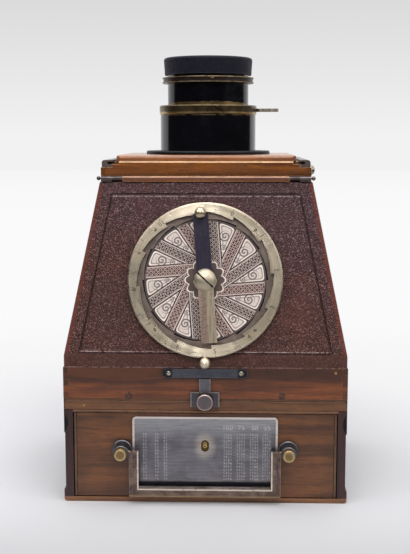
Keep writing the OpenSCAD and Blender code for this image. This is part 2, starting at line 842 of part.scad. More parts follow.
// Front or back rail with the carriage's groove and the rollers' bearings on its inside.
module long_rail() {
    end_wood = 1;
    groove_x = rail_in_x - end_wood;
    difference() {
        block([-rail_x, -rail_y, magazine_h], [rail_x, -rail_in_y, rail_top_z]);
        mirrored_x() translate([rail_x, 0, 0]) side_fingers();
        block(
            [-groove_x, -rail_in_y - carriage_groove, carriage_z - running_fit],
            [groove_x, -rail_in_y + beyond, carriage_z + carriage_t + running_fit]
        );
        mirrored_x() translate([roller_x, -rail_in_y - bearing_deep, roller_z]) rotate([-90, 0, 0])
            cylinder(h = bearing_deep + beyond, r = roller_pin_r + pin_fit);
    }
}

module base_rail_front() {
    color("#7a4526") long_rail();
}

module base_rail_back() {
    color("#7a4526") difference() {
        mirror([0, 1, 0]) long_rail();
        translate([0, rail_y + beyond, bush_z]) rotate([90, 0, 0])
            cylinder(h = rail_t + 2 * beyond, r = bush_body_r);
    }
}

// Brass bush let into the back rail for the tripod's screw.
module tripod_bush() {
    flange_t = 0.6;
    color("#b3945a") translate([0, rail_y + flange_t, bush_z]) rotate([90, 0, 0]) difference() {
        union() {
            cylinder(h = flange_t, r = bush_flange_r);
            cylinder(h = bush_l, r = bush_body_r);
        }
        translate([0, 0, -beyond]) cylinder(h = bush_l + 2 * beyond, r = bush_bore_r);
    }
}

// Wooden roller with its wound blind and steel pivots.
module roller(x) {
    length = 2 * (rail_in_y - free_gap);
    color("#1d1d1f") translate([x, 0, roller_z]) rotate([90, 0, 0]) {
        cylinder(h = length, r = roller_r, center = true);
        cylinder(h = length + 2 * bearing_deep, r = roller_pin_r, center = true);
    }
}

module roller_left() {
    roller(-roller_x);
}

module roller_right() {
    roller(roller_x);
}

module slit_carriage() {
    color("#3a3a3c") translate([-carriage_travel / 2, 0, 0]) difference() {
        block(
            [-carriage_w / 2, -carriage_y, carriage_z],
            [carriage_w / 2, carriage_y, carriage_z + carriage_t]
        );
        block(
            [-slit_w / 2, -plate_opening_w / 2, carriage_z - beyond],
            [slit_w / 2, plate_opening_w / 2, carriage_z + carriage_t + beyond]
        );
    }
}

// Board over the shutter, fitted between the boards of the body.
module shutter_board() {
    inset = leather_t + board_t;
    color("#3b2a20") difference() {
        block(
            [-band_x + inset, -band_y + inset, rail_top_z],
            [band_x - inset, band_y - inset, rail_top_z + shutter_board_t]
        );
        block(
            [-plate_l / 2, -plate_w / 2, rail_top_z - beyond],
            [plate_l / 2, plate_w / 2, rail_top_z + shutter_board_t + beyond]
        );
    }
}

// Front board of the body; the side boards stand between it and the back board.
module front_board() {
    difference() {
        intersection() {
            width_prism(leather_t);
            depth_prism(leather_t);
            block([-magazine_w, -magazine_d, 0], [magazine_w, 0, 2 * cone_top_z]);
        }
        depth_prism(leather_t + board_t, beyond);
    }
}

module cone_front() {
    color("#4b3226") difference() {
        front_board();
        on_dial() cylinder(h = 4 * board_t, r = spindle_r + pin_fit, center = true);
    }
}

module cone_back() {
    color("#4b3226") mirror([0, 1, 0]) front_board();
}

module side_board() {
    difference() {
        intersection() {
            width_prism(leather_t);
            depth_prism(leather_t + board_t);
            block([0, -magazine_d, 0], [magazine_w, magazine_d, 2 * cone_top_z]);
        }
        width_prism(leather_t + board_t, beyond);
    }
}

module cone_right() {
    color("#4b3226") side_board();
}

module cone_left() {
    color("#4b3226") mirror([1, 0, 0]) side_board();
}

// One leather skin stretched over the four boards, rounded over their edges.
module leather_cover() {
    sliver = 0.01;
    color("#4c2f2e") difference() {
        hull() for (x = [-1, 1]) for (y = [-1, 1]) {
            translate([x * (band_x - leather_r), y * (band_y - leather_r), rail_top_z])
                cylinder(h = band_h, r = leather_r, $fn = 32);
            translate([x * (cone_top_x - leather_r), y * (cone_top_y - leather_r), cone_top_z - sliver])
                cylinder(h = sliver, r = leather_r, $fn = 32);
        }
        intersection() {
            width_prism(leather_t, beyond);
            depth_prism(leather_t, beyond);
        }
        on_dial() cylinder(h = 4 * leather_t, r = spindle_r + free_gap, center = true);
    }
}

module dial_base() {
    color("#4a4a4c") on_dial() difference() {
        cylinder(h = dial_base_t, r = dial_base_r);
        translate([0, 0, -beyond]) cylinder(h = dial_base_t + 2 * beyond, r = spindle_r + pin_fit);
    }
}

// Dark ring inside the scale ring, with a stepped inner edge for the pointer's clicks.
module step_ring() {
    seat = 0.3;
    step = 1.1;
    color("#5b5352") on_dial() translate([0, 0, dial_base_t]) linear_extrude(step_ring_t)
        difference() {
            circle(step_ring_r);
            polygon(saw(dial_steps, disc_r + seat + step, disc_r + seat, 3));
        }
}

module printed_disc() {
    color("#cdbcae") on_dial() translate([0, 0, dial_base_t]) difference() {
        cylinder(h = disc_t, r = disc_r);
        translate([0, 0, -beyond]) cylinder(h = disc_t + 2 * beyond, r = spindle_r + 0.4);
    }
}

// The turning ring: an upper lip cut in steps, a lower collar and the ball grip.
module scale_ring() {
    collar_r = step_ring_r + running_fit;
    step_h = ring_lift + ring_t - ring_lip_t;
    ball_lift = 0.4;
    color("#c9c1a8") on_dial() {
        difference() {
            rotate_extrude($fn = 180) polygon([
                [lip_r - beyond, ring_lift], [ring_r, ring_lift],
                [ring_r, ring_top_h - ring_bevel], [ring_r - ring_bevel, ring_top_h],
                [lip_r - beyond, ring_top_h]
            ]);
            translate([0, 0, ring_lift - beyond]) cylinder(h = step_h - ring_lift + beyond, r = collar_r);
            translate([0, 0, step_h - beyond]) linear_extrude(ring_lip_t + 2 * beyond)
                rotate(step_turn) polygon(saw(dial_steps, lip_r, lip_r + step_deep, 3));
        }
        translate([0, -ring_r - ring_ball_out, ball_r + ball_lift]) {
            sphere(ball_r);
            rotate([-90, 0, 0]) cylinder(h = ring_ball_out + 2 * ring_bevel, r = ball_neck_r);
        }
    }
}

// Blued arm with a round hub and a round end under its ball.
module pointer_arm() {
    end_r = pointer_w / 2 - 1;
    color("#23262f") on_dial() rotate([0, 0, pointer_lean]) translate([0, 0, pointer_h]) difference() {
        linear_extrude(pointer_t) {
            translate([-pointer_w / 2, 0]) square([pointer_w, pointer_ball_at]);
            translate([0, pointer_ball_at]) circle(end_r);
            intersection() {
                circle(hub_r);
                translate([-hub_r, 0]) square(2 * hub_r);
            }
        }
        translate([0, 0, -beyond]) cylinder(h = pointer_t + 2 * beyond, r = spindle_r);
    }
}

module pointer_ball() {
    flat = 0.5;
    color("#d2ccb8") on_dial() rotate([0, 0, pointer_lean]) difference() {
        translate([0, pointer_ball_at, pointer_top_h + ball_r - flat]) sphere(ball_r);
        block(
            [-2 * ball_r, pointer_ball_at - 2 * ball_r, pointer_top_h - 2 * ball_r],
            [2 * ball_r, pointer_ball_at + 2 * ball_r, pointer_top_h]
        );
    }
}

// Light bar opposite the arm, with its left half sunk for a scale.
module index_bar() {
    sink = 0.35;
    color("#b0a68c") on_dial() rotate([0, 0, pointer_lean]) translate([0, 0, pointer_h]) difference() {
        linear_extrude(pointer_t) {
            translate([-pointer_w / 2, -index_l]) square([pointer_w, index_l]);
            intersection() {
                circle(hub_r);
                translate([-hub_r, -2 * hub_r]) square(2 * hub_r);
            }
        }
        translate([-pointer_w / 2 - beyond, -index_l - beyond, pointer_t - sink])
            cube([pointer_w / 2 + beyond, index_l - hub_r, 2 * sink]);
        translate([0, 0, -beyond]) cylinder(h = pointer_t + 2 * beyond, r = spindle_r);
    }
}

// Domed and slotted head, with the spindle and the nut that holds it inside the body.
module centre_screw() {
    dome_r = (centre_r * centre_r + centre_h * centre_h) / (2 * centre_h);
    nut_t = 2.4;
    slot_deep = 1.3;
    slot_turn = 43 + pointer_lean;
    color("#cfc8b2") on_dial() difference() {
        union() {
            translate([0, 0, pointer_top_h]) rotate_extrude() intersection() {
                translate([0, centre_h - dome_r]) circle(dome_r, $fn = 128);
                square([centre_r, centre_h]);
            }
            translate([0, 0, -spindle_in - nut_t])
                cylinder(h = spindle_in + nut_t + pointer_top_h, r = spindle_r);
            translate([0, 0, -spindle_in - nut_t]) cylinder(h = nut_t, r = 2 * spindle_r);
        }
        rotate([0, 0, slot_turn])
            translate([-slot_w / 2, -2 * centre_r, pointer_top_h + centre_h - slot_deep])
            cube([slot_w, 4 * centre_r, centre_h]);
    }
}

// Fixed bar of the latch, with a round eye at each screw.
module latch_crossbar() {
    bar_h = crossbar_h - 0.8;
    end_h = crossbar_h - 1.8;
    color("#2c303a") translate([0, 0, crossbar_z + crossbar_h / 2]) on_front(-rail_y) difference() {
        linear_extrude(latch_t) {
            square([crossbar_pitch, bar_h], center = true);
            square([crossbar_l, end_h], center = true);
            for (x = [-1, 1]) translate([x * crossbar_pitch / 2, 0]) circle(crossbar_h / 2);
        }
        for (x = [-1, 1]) translate([x * crossbar_pitch / 2, 0, -beyond])
            cylinder(h = latch_t + 2 * beyond, r = crossbar_screw_r);
    }
}

// Springy tongue that hangs from the crossbar and carries the locking pin.
module latch_tongue() {
    top_z = crossbar_z - latch_gap;
    color("#343842") {
        on_front(tongue_y) linear_extrude(latch_t) {
            translate([-tongue_w / 2, tongue_z]) square([tongue_w, top_z - tongue_z]);
            translate([-tongue_plate_w / 2, tongue_z]) square([tongue_plate_w, tongue_plate_h]);
        }
        translate([0, 0, latch_pin_z]) on_front(tongue_y + latch_pin_l)
            cylinder(h = latch_pin_l + latch_t / 2, r = latch_pin_r);
    }
}

module latch_knob() {
    neck_h = 1.4;
    neck_r = knob_r - 1.6;
    edge = 0.7;
    color("#8f8f92") translate([0, 0, latch_pin_z + knob_up]) on_front(tongue_y - latch_t) rotate_extrude() {
        square([neck_r, neck_h + edge]);
        translate([0, neck_h]) square([knob_r - edge, knob_h - neck_h]);
        translate([0, neck_h + edge]) square([knob_r, knob_h - neck_h - 2 * edge]);
        translate([knob_r - edge, neck_h + edge]) circle(edge, $fn = 32);
        translate([knob_r - edge, knob_h - edge]) circle(edge, $fn = 32);
    }
}

// Section, about the hinge line, of what stands on the body along the front edge.
module hinge_foot() {
    web_t = 0.7;
    circle(bead_r);
    translate([-web_t, cone_top_z - hinge_z]) square([web_t, hinge_z - cone_top_z]);
}

module front_bead() {
    color("#9c5a2c") translate([0, hinge_y, hinge_z]) along_x(2 * (knuckle_in_x - knuckle_gap)) hinge_foot();
}

module body_knuckles() {
    length = knuckle_l / 2;
    tip_x = frame_x + hinge_pin_out - bead_r;
    color("#2e2a28") mirrored_x() {
        translate([knuckle_mid_x + length / 2, hinge_y, hinge_z]) along_x(length) hinge_foot();
        translate([knuckle_in_x, hinge_y, hinge_z]) rotate([0, 90, 0])
            cylinder(h = tip_x - knuckle_in_x, r = hinge_pin_r);
        translate([tip_x, hinge_y, hinge_z]) sphere(bead_r, $fn = 32);
    }
}

// Knuckles of the frame, each on a leaf let into the wood.
module frame_knuckles() {
    color("#2e2a28") mirrored_x() translate([leaf_x, hinge_y, hinge_z]) difference() {
        along_x(leaf_l) {
            circle(bead_r);
            translate([0, -leaf_t / 2]) square([leaf_w, leaf_t]);
        }
        rotate([0, 90, 0]) cylinder(h = 2 * leaf_l, r = hinge_pin_r + pin_fit, center = true);
    }
}

// Hinged mahogany frame, with rebates for the guide rails and grooves for the tongues.
module lens_frame() {
    edge_w = 0.8;
    color("#a5622e") difference() {
        block([-frame_x, -frame_y, frame_z], [frame_x, frame_y, frame_top_z]);
        translate([0, 0, frame_z - beyond])
            cylinder(h = frame_h + 2 * beyond, r = frame_hole_r, $fn = 128);
        translate([0, -frame_y, frame_top_z]) rotate([45, 0, 0])
            cube([2 * frame_w, edge_w, edge_w], center = true);
        mirrored_x() {
            block([guide_in_x, -frame_d, guide_z], [frame_x + beyond, frame_d, frame_top_z + beyond]);
            block(
                [guide_in_x - slide_root - running_fit, -frame_d, slide_groove_z],
                [guide_in_x + beyond, frame_d, frame_top_z + beyond]
            );
            translate([leaf_x, hinge_y + leaf_w / 2, hinge_z])
                cube([leaf_l, leaf_w, leaf_t], center = true);
        }
        translate([0, hinge_y, hinge_z]) rotate([0, 90, 0])
            cylinder(h = 2 * frame_w, r = hinge_cut_r, center = true);
        translate([frame_x - lock_hole_deep, 0, lock_z]) rotate([0, 90, 0])
            cylinder(h = lock_hole_deep + beyond, r = lock_stem_r + pin_fit);
    }
}

// Channel rail of blackened brass: its lip keeps the board's tongue down.
module guide_rail() {
    corner_r = 1.5;
    lip_z = frame_top_z - running_fit / 2;
    color("#352a24") along_y(frame_d) difference() {
        union() {
            translate([guide_in_x, guide_z]) square([guide_w - corner_r, guide_h]);
            translate([guide_in_x, guide_z]) square([guide_w, guide_h - corner_r]);
            translate([guide_in_x + guide_w - corner_r, guide_z + guide_h - corner_r])
                circle(corner_r, $fn = 32);
        }
        translate([guide_in_x - beyond, slide_groove_z])
            square([tongue_reach + 2 * running_fit + beyond, lip_z - slide_groove_z]);
    }
}

module guide_rail_right() {
    guide_rail();
}

module guide_rail_left() {
    mirror([1, 0, 0]) guide_rail();
}

module board_lock_knob() {
    stem_l = lock_hole_deep - 1;
    collar_z = 0.4;
    collar_h = 0.8;
    edge_h = 1;
    color("#bdb8a8") translate([frame_x, 0, lock_z]) rotate([0, 90, 0]) rotate_extrude() {
        translate([0, -stem_l]) square([lock_stem_r, stem_l + collar_z + collar_h]);
        translate([0, collar_z]) square([lock_r - collar_h, 2 * collar_h]);
        translate([0, collar_z + collar_h]) square([lock_r, edge_h]);
        intersection() {
            translate([0, lock_h - lock_r]) circle(lock_r, $fn = 48);
            translate([0, collar_z + collar_h]) square([lock_r, lock_h]);
        }
    }
}

// Sliding board with its two tongues and the hole for the lens mount.
module lens_board() {
    board_x = lens_board_w / 2;
    tongue_x = guide_in_x + tongue_reach;
    root_x = guide_in_x - slide_root + running_fit;
    sunk = 0.5;
    tongue_z = slide_groove_z + running_fit;
    color("#9a5c34") difference() {
        union() {
            intersection() {
                translate([0, 0, lens_board_z]) linear_extrude(lens_board_t)
                    rounded_rect(lens_board_w, lens_board_d, lens_board_r);
                along_y(2 * lens_board_d)
                    round_topped(lens_board_w, lens_board_z, flange_z, lens_board_edge);
                along_x(2 * lens_board_w)
                    round_topped(lens_board_d, lens_board_z, flange_z, lens_board_edge);
            }
            mirrored_x() along_y(lens_board_d - 2 * lens_board_r) {
                translate([root_x, tongue_z])
                    square([tongue_x - root_x, tongue_t - running_fit]);
                translate([root_x, tongue_z]) square([board_x - root_x, lens_board_z - tongue_z + sunk]);
            }
        }
        translate([0, 0, lens_board_z - beyond])
            cylinder(h = lens_board_t + 2 * beyond, r = spigot_r, $fn = 128);
    }
}

module lens_flange() {
    bevel = 0.6;
    screw_r = 1.3;
    head_r = 2.4;
    head_deep = 1;
    color("#17171a") translate([0, 0, flange_z]) difference() {
        rotate_extrude($fn = 128) polygon([
            [spigot_r, 0], [flange_r, 0], [flange_r, flange_t - bevel],
            [flange_r - bevel, flange_t], [spigot_r, flange_t]
        ]);
        for (a = [90, 210, 330]) rotate([0, 0, a]) translate([(flange_r + mount_r) / 2, 0, 0]) {
            translate([0, 0, -beyond]) cylinder(h = flange_t + 2 * beyond, r = screw_r);
            translate([0, 0, flange_t - head_deep]) cylinder(h = head_deep + beyond, r = head_r);
        }
    }
}

// Black lacquered mount with a spigot through the flange and the board.
module lens_mount() {
    bore_r = guide_r + running_fit;
    lip = 1;
    color("#17171a") rotate_extrude($fn = 128) polygon([
        [bore_r - lip, lens_board_z], [spigot_r, lens_board_z], [spigot_r, mount_z],
        [mount_r, mount_z], [mount_r, focus_z - running_fit], [bore_r, focus_z - running_fit],
        [bore_r, mount_z + lip], [bore_r - lip, mount_z + lip]
    ]);
}

// Focusing ring with a flat lever that widens towards its tip.
module focus_ring() {
    bevel = 0.5;
    lever_t = 2;
    root_y = 1.2;
    tip_y = 2.4;
    neck_l = 3;
    neck_x = focus_r + neck_l;
    corner = 1;
    color("#8a7444") {
        rotate_extrude($fn = 128) polygon([
            [tube_r + running_fit, focus_z], [focus_r - bevel, focus_z], [focus_r, focus_z + bevel],
            [focus_r, focus_top_z - bevel], [focus_r - bevel, focus_top_z],
            [tube_r + running_fit, focus_top_z]
        ]);
        translate([0, 0, focus_z + focus_h / 2 - lever_t / 2]) linear_extrude(lever_t)
            polygon([
                [focus_r - corner, -root_y], [neck_x, -root_y], [lever_reach - corner, -tip_y],
                [lever_reach, -tip_y + corner], [lever_reach, tip_y - corner],
                [lever_reach - corner, tip_y], [neck_x, root_y], [focus_r - corner, root_y]
            ]);
    }
}

// Tube that carries the glasses: guide below, black barrel above, sleeve for the iris ring.
module lens_tube() {
    stop_gap = 1;
    guide_top_z = focus_z - focus_travel - stop_gap;
    color("#1a1a1d") rotate_extrude($fn = 128) polygon([
        [tube_bore_r, tube_foot_z], [guide_r, tube_foot_z], [guide_r, guide_top_z],
        [tube_r, guide_top_z], [tube_r, tube_top_z - running_fit], [sleeve_r, tube_top_z - running_fit],
        [sleeve_r, rim_z], [tube_bore_r, rim_z]
    ]);
}

// A glass, flat or hollow behind and domed in front, with a ground edge.
module glass(z, thick, dome) {
    radius = tube_bore_r;
    ball = (radius * radius + dome * dome) / (2 * dome);
    color("#b9c4cc") translate([0, 0, z]) rotate_extrude($fn = 128) {
        square([radius, thick]);
        intersection() {
            translate([0, thick + dome - ball]) circle(ball, $fn = 256);
            square([radius, thick + dome]);
        }
    }
}

module rear_element() {
    behind = 1;
    glass(tube_foot_z + behind, rear_glass_t, rear_glass_dome);
}

module front_element() {
    sunk = 5;
    glass(tube_top_z - sunk, front_glass_t, front_glass_dome);
}

module front_rim() {
    edge = 0.6;
    rim_top_z = rim_z + rim_h;
    color("#1a1a1d") rotate_extrude($fn = 128) polygon([
        [tube_bore_r, rim_z], [rim_r, rim_z], [rim_r, rim_top_z - edge],
        [rim_r - edge, rim_top_z], [tube_bore_r + edge, rim_top_z],
        [tube_bore_r, rim_top_z - edge]
    ]);
}

// Iris ring, waisted between two thin beads.
module iris_ring() {
    bead = 0.7;
    waist = 0.5;
    bottom_z = tube_top_z;
    color("#3a3226") rotate_extrude($fn = 128) polygon([
        [sleeve_r + running_fit, bottom_z], [iris_r, bottom_z], [iris_r, bottom_z + bead],
        [iris_r - waist, bottom_z + bead], [iris_r - waist, iris_top_z - bead],
        [iris_r, iris_top_z - bead], [iris_r, iris_top_z], [sleeve_r + running_fit, iris_top_z]
    ]);
}

// Leather-covered cap: a slightly flaring wall under a top with a rounded edge.
module lens_cap() {
    top_r = cap_r + cap_flare;
    top_t = cap_h - (rim_z + rim_h - cap_z) - free_gap;
    edge_z = cap_z + cap_h - cap_edge_r;
    color("#1e1f22") rotate_extrude($fn = 128) difference() {
        union() {
            polygon([
                [0, cap_z], [cap_r, cap_z], [top_r, edge_z], [0, edge_z]
            ]);
            translate([0, edge_z]) square([top_r - cap_edge_r, cap_edge_r]);
            translate([top_r - cap_edge_r, edge_z]) circle(cap_edge_r, $fn = 48);
        }
        translate([-2 * top_r, cap_z - beyond]) square([2 * top_r, cap_h + 2 * beyond]);
        translate([0, cap_z - beyond]) square([rim_r + cap_gap, cap_h - top_t + beyond]);
    }
}

magazine_floor();
magazine_side_left();
magazine_side_right();
magazine_back();
runner_left();
runner_right();
magazine_top();
drawer_front();
drawer_tray();
exposure_table();
counter_wheel();
plate_sheaths();
glass_plates();
pressure_springs();
bail_bosses();
bail_knobs();
bail_handle();
base_rail_front();
base_rail_back();
base_rail_left();
base_rail_right();
tripod_bush();
roller_left();
roller_right();
slit_carriage();
shutter_board();
cone_front();
cone_back();
cone_left();
cone_right();
leather_cover();
dial_base();
step_ring();
printed_disc();
scale_ring();
pointer_arm();
pointer_ball();
index_bar();
centre_screw();
latch_crossbar();
latch_tongue();
latch_knob();
front_bead();
body_knuckles();
frame_knuckles();
lens_frame();
guide_rail_left();
guide_rail_right();
board_lock_knob();
lens_board();
lens_flange();
lens_mount();
focus_ring();
lens_tube();
rear_element();
front_element();
front_rim();
iris_ring();
lens_cap();
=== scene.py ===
"""Looks of the focal plane hand camera: finishes for its CAD parts and its finer pieces.

Places are given in millimetres and turned into metres when a mesh is made.
"""

from functools import partial
from math import cos, pi, radians, sin, tau

import bpy
import numpy as np
from mathutils import Euler, Matrix


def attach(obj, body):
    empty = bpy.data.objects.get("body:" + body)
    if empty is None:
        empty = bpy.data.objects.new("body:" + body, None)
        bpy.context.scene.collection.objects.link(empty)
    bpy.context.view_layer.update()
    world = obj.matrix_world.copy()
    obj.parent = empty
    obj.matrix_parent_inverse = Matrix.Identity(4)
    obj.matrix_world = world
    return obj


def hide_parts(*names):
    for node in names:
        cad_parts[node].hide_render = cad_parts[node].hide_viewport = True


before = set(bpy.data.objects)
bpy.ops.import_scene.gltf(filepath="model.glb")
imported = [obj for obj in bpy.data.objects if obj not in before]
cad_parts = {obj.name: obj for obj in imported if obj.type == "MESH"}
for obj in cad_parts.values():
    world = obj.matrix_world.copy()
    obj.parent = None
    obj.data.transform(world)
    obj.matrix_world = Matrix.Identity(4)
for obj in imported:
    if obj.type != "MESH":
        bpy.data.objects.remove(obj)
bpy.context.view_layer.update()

MM = 0.001
MAKE = bpy.data
SCENE = bpy.context.scene

# --- shader trees


def signs(operation):
    """Two methods of Value that add this Math node: Value first, and Value second."""
    return (lambda self, other: maths(operation, self, other),
            lambda self, other: maths(operation, other, self))


class Value:
    """A number, vector or colour that varies over a surface; sums and products add Math nodes."""

    def __init__(self, tree, socket):
        self.tree, self.socket = tree, socket

    def __abs__(self):
        return maths("ABSOLUTE", self)

    __add__, __radd__ = signs("ADD")
    __sub__, __rsub__ = signs("SUBTRACT")
    __mul__, __rmul__ = signs("MULTIPLY")
    __truediv__, __rtruediv__ = signs("DIVIDE")
    __lt__, __gt__ = signs("LESS_THAN")


def maths(operation, *terms, clamp=False):
    """One Math node on these terms, of which at least one is a Value."""
    tree = next(t.tree for t in terms if isinstance(t, Value))
    node = tree.nodes.new("ShaderNodeMath")
    node.operation, node.use_clamp = operation, clamp
    for socket, term in zip(node.inputs, terms):
        feed(tree, socket, term)
    return Value(tree, node.outputs[0])


def feed(tree, socket, item):
    """Links a Value to the socket, or sets the socket to a plain number, vector or colour."""
    if isinstance(item, Value):
        tree.links.new(item.socket, socket)
    else:
        socket.default_value = item


sine, cosine, fraction = partial(maths, "SINE"), partial(maths, "COSINE"), partial(maths, "FRACT")
least, most = partial(maths, "MINIMUM"), partial(maths, "MAXIMUM")


def distance(a, b):
    return maths("SQRT", a * a + b * b)


def bounded(v):
    return maths("MULTIPLY", v, 1.0, clamp=True)


def colour(red, green, blue):
    """A colour written as screen values 0 to 255, as the linear numbers that shaders take."""
    def linear(c):
        c /= 255
        return c / 12.92 if c <= 0.04045 else ((c + 0.055) / 1.055) ** 2.4
    return (linear(red), linear(green), linear(blue), 1.0)


class Tree:
    """A shader tree that is being filled. Most methods add a node and hand back its output.

    made is the material or world that the tree belongs to, base its colour so far.
    """

    def __init__(self, nodes, made=None):
        self.nodes, self.made, self.base = nodes, made, None

    def add(self, kind, feeds=(), **settings):
        node = self.nodes.nodes.new("ShaderNode" + kind)
        for name, setting in settings.items():
            setattr(node, name, setting)
        for name, item in dict(feeds).items():
            feed(self.nodes, node.inputs[name], item)
        return node

    def out(self, kind, output, feeds=(), **settings):
        return Value(self.nodes, self.add(kind, feeds, **settings).outputs[output])

    def place(self, centre=(0, 0, 0), turn=(0, 0, 0)):
        """Object coordinates in millimetres from centre, in a frame turned by these degrees."""
        return self.out("Mapping", 0, {
            "Vector": self.out("TexCoord", "Object"), "Location": [c * MM for c in centre],
            "Rotation": [radians(a) for a in turn], "Scale": (MM, MM, MM)},
            vector_type="TEXTURE")

    def split(self, vector):
        return [Value(self.nodes, o) for o in self.add("SeparateXYZ", {"Vector": vector}).outputs]

    def join(self, x, y, z):
        return self.out("CombineXYZ", 0, {"X": x, "Y": y, "Z": z})

    def vectors(self, operation, *terms, output=0):
        return self.out("VectorMath", output, dict(enumerate(terms)), operation=operation)

    def stretch(self, vector, factors):
        return self.vectors("MULTIPLY", vector, factors)

    def shift(self, vector, other):
        return self.vectors("ADD", vector, other)

    def noise(self, vector, scale, detail=2.0, rough=0.5, warp=0.0, output="Fac"):
        return self.out("TexNoise", output, {
            "Vector": vector, "Scale": scale, "Detail": detail, "Roughness": rough,
            "Distortion": warp})

    def cells(self, vector, scale, feature="F1"):
        return self.out("TexVoronoi", "Distance", {"Vector": vector, "Scale": scale},
                        feature=feature)

    def ramp(self, v, low, high, to_low=0.0, to_high=1.0, kind="SMOOTHSTEP"):
        """v from low to high becomes a smooth rise from to_low to to_high, held beyond the ends."""
        return self.out("MapRange", 0, {
            "Value": v, "From Min": low, "From Max": high, "To Min": to_low, "To Max": to_high},
            interpolation_type=kind)

    def mix(self, mask, first, second):
        """First colour where mask is 0, second where it is 1. Plain ones are screen values."""
        ends = [c if isinstance(c, Value) else colour(*c) for c in (first, second)]
        return self.out("Mix", 2, {0: mask, 6: ends[0], 7: ends[1]}, data_type="RGBA")

    def coat(self, mask, tone):
        """Covers the base colour with this one where mask is 1."""
        self.base = self.mix(mask, self.base, tone)

    def relief(self, height, depth):
        """Normal of a surface raised by height times depth millimetres."""
        return self.out("Bump", 0, {"Height": height, "Distance": depth * MM})

    def tilt(self, x, y, turn):
        """Normal leant by x and y along the axes of a frame turned by these degrees."""
        axes = Euler([radians(a) for a in turn]).to_matrix()
        lean = self.join(*[x * axes[k][0] + y * axes[k][1] for k in range(3)])
        leant = self.shift(self.out("TexCoord", "Normal"), lean)
        return self.vectors("NORMALIZE", self.out(
            "VectorTransform", 0, {"Vector": leant}, vector_type="NORMAL",
            convert_from="OBJECT", convert_to="WORLD"))

    def use(self, group, vector, **numbers):
        """Places a node group and gives its outputs by name."""
        node = self.add("Group", {"Vector": vector, **numbers}, node_tree=group)
        return {o.name: Value(self.nodes, o) for o in node.outputs}

    def mask(self, group, vector, **numbers):
        return self.use(group, vector, **numbers)["Mask"]


def node_group(name, outputs, **numbers):
    """Turns the function below it into a shader node group.

    The group's inputs are Vector, a place in millimetres, and these numbers with their defaults.
    The function takes the tree and the inputs' Values and gives the outputs' Values in order.
    """
    def build(fill):
        made = MAKE.node_groups.new(name, "ShaderNodeTree")
        made.interface.new_socket("Vector", in_out="INPUT", socket_type="NodeSocketVector")
        for title, default in numbers.items():
            socket = made.interface.new_socket(title, in_out="INPUT",
                                               socket_type="NodeSocketFloat")
            socket.default_value = default
        for title in outputs:
            made.interface.new_socket(title, in_out="OUTPUT", socket_type="NodeSocketFloat")
        entry, leave = made.nodes.new("NodeGroupInput"), made.nodes.new("NodeGroupOutput")
        given = [Value(made, o) for o in entry.outputs if o.name]
        for socket, value in zip(leave.inputs, fill(Tree(made), *given)):
            feed(made, socket, value)
        return made
    return build


# --- shared effects


@node_group("edge wear", ["Mask"], Reach=0.5, Amount=0.6)
def EDGES(t, here, reach, amount):
    """1 where the rounded normal leaves the true one, broken up by two noises."""
    rounded = t.out("Bevel", 0, {"Radius": reach * MM}, samples=4)
    turned = 1 - t.vectors("DOT_PRODUCT", rounded, t.out("NewGeometry", "Normal"), output="Value")
    ragged = t.noise(here, 0.35, 3.0) * 0.7 + t.noise(here, 2.1, 2.0) * 0.3
    worn = t.ramp(ragged, 0.62 - amount * 0.5, 0.72 - amount * 0.3)
    return [bounded(t.ramp(turned, 0.02, 0.16) * worn)]


@node_group("corner dirt and shade", ["Mask"], Reach=4.0)
def CORNERS(t, here, reach):
    """1 deep in corners and gaps, from ambient occlusion: dust and old polish there, and painted
    shade.
    """
    open_sky = t.out("AmbientOcclusion", "AO", {"Distance": reach * MM}, samples=8)
    return [bounded((1 - open_sky) * (t.noise(here, 0.12, 3.0) * 0.9 + 0.55))]


@node_group("wood grain", ["Tone", "Pores", "Height"])
def GRAIN(t, here):
    """Wood with its fibres along x: broad waving figure, fine fibres and short dark pores."""
    drift = t.noise(t.stretch(here, (0.012, 0.05, 0.05)), 1.0, 2.0, output="Color")
    bent = t.shift(here, t.stretch(drift, (0.0, 9.0, 9.0)))
    figure = t.noise(t.stretch(bent, (0.01, 0.16, 0.16)), 1.0, 3.0, 0.55, 0.6)
    fibres = t.noise(t.stretch(bent, (0.03, 1.5, 1.5)), 1.0, 3.0, 0.6)
    silk = t.noise(t.stretch(bent, (0.18, 4.5, 4.5)), 1.0, 2.0, 0.6)
    dashes = t.noise(t.stretch(bent, (0.11, 2.6, 2.6)), 1.0, 2.0, 0.5)
    pores = t.ramp(dashes, 0.6, 0.7)
    tone = bounded(t.ramp(figure, 0.36, 0.64) * 0.55 + t.ramp(fibres, 0.25, 0.75) * 0.3
                   + silk * 0.15)
    return [tone, pores, fibres * 0.4 + silk * 0.3 - pores * 0.6]


@node_group("patina", ["Cloud", "Spots"])
def PATINA(t, here):
    """Clouds of tarnish, with small dark spots where the cover has failed."""
    cloud = t.noise(here, 0.085, 4.0, 0.62, 0.8)
    return [t.ramp(cloud, 0.36, 0.66), t.ramp(t.noise(here, 0.8, 2.0, 0.5), 0.64, 0.72)]


@node_group("scratches", ["Mask"])
def SCRATCHES(t, here):
    """Fine hairlines: a stretched noise, thresholded, in two crossing directions."""
    def lines(factors):
        fine = t.noise(t.stretch(here, factors), 1.0, 2.0, 0.7, 0.3)
        return t.ramp(abs(fine - 0.5), 0.012, 0.0)
    gate = t.ramp(t.noise(here, 0.22, 1.0), 0.48, 0.66)
    return [bounded(most(lines((0.05, 1.4, 1.4)), lines((1.2, 0.07, 1.1))) * gate)]


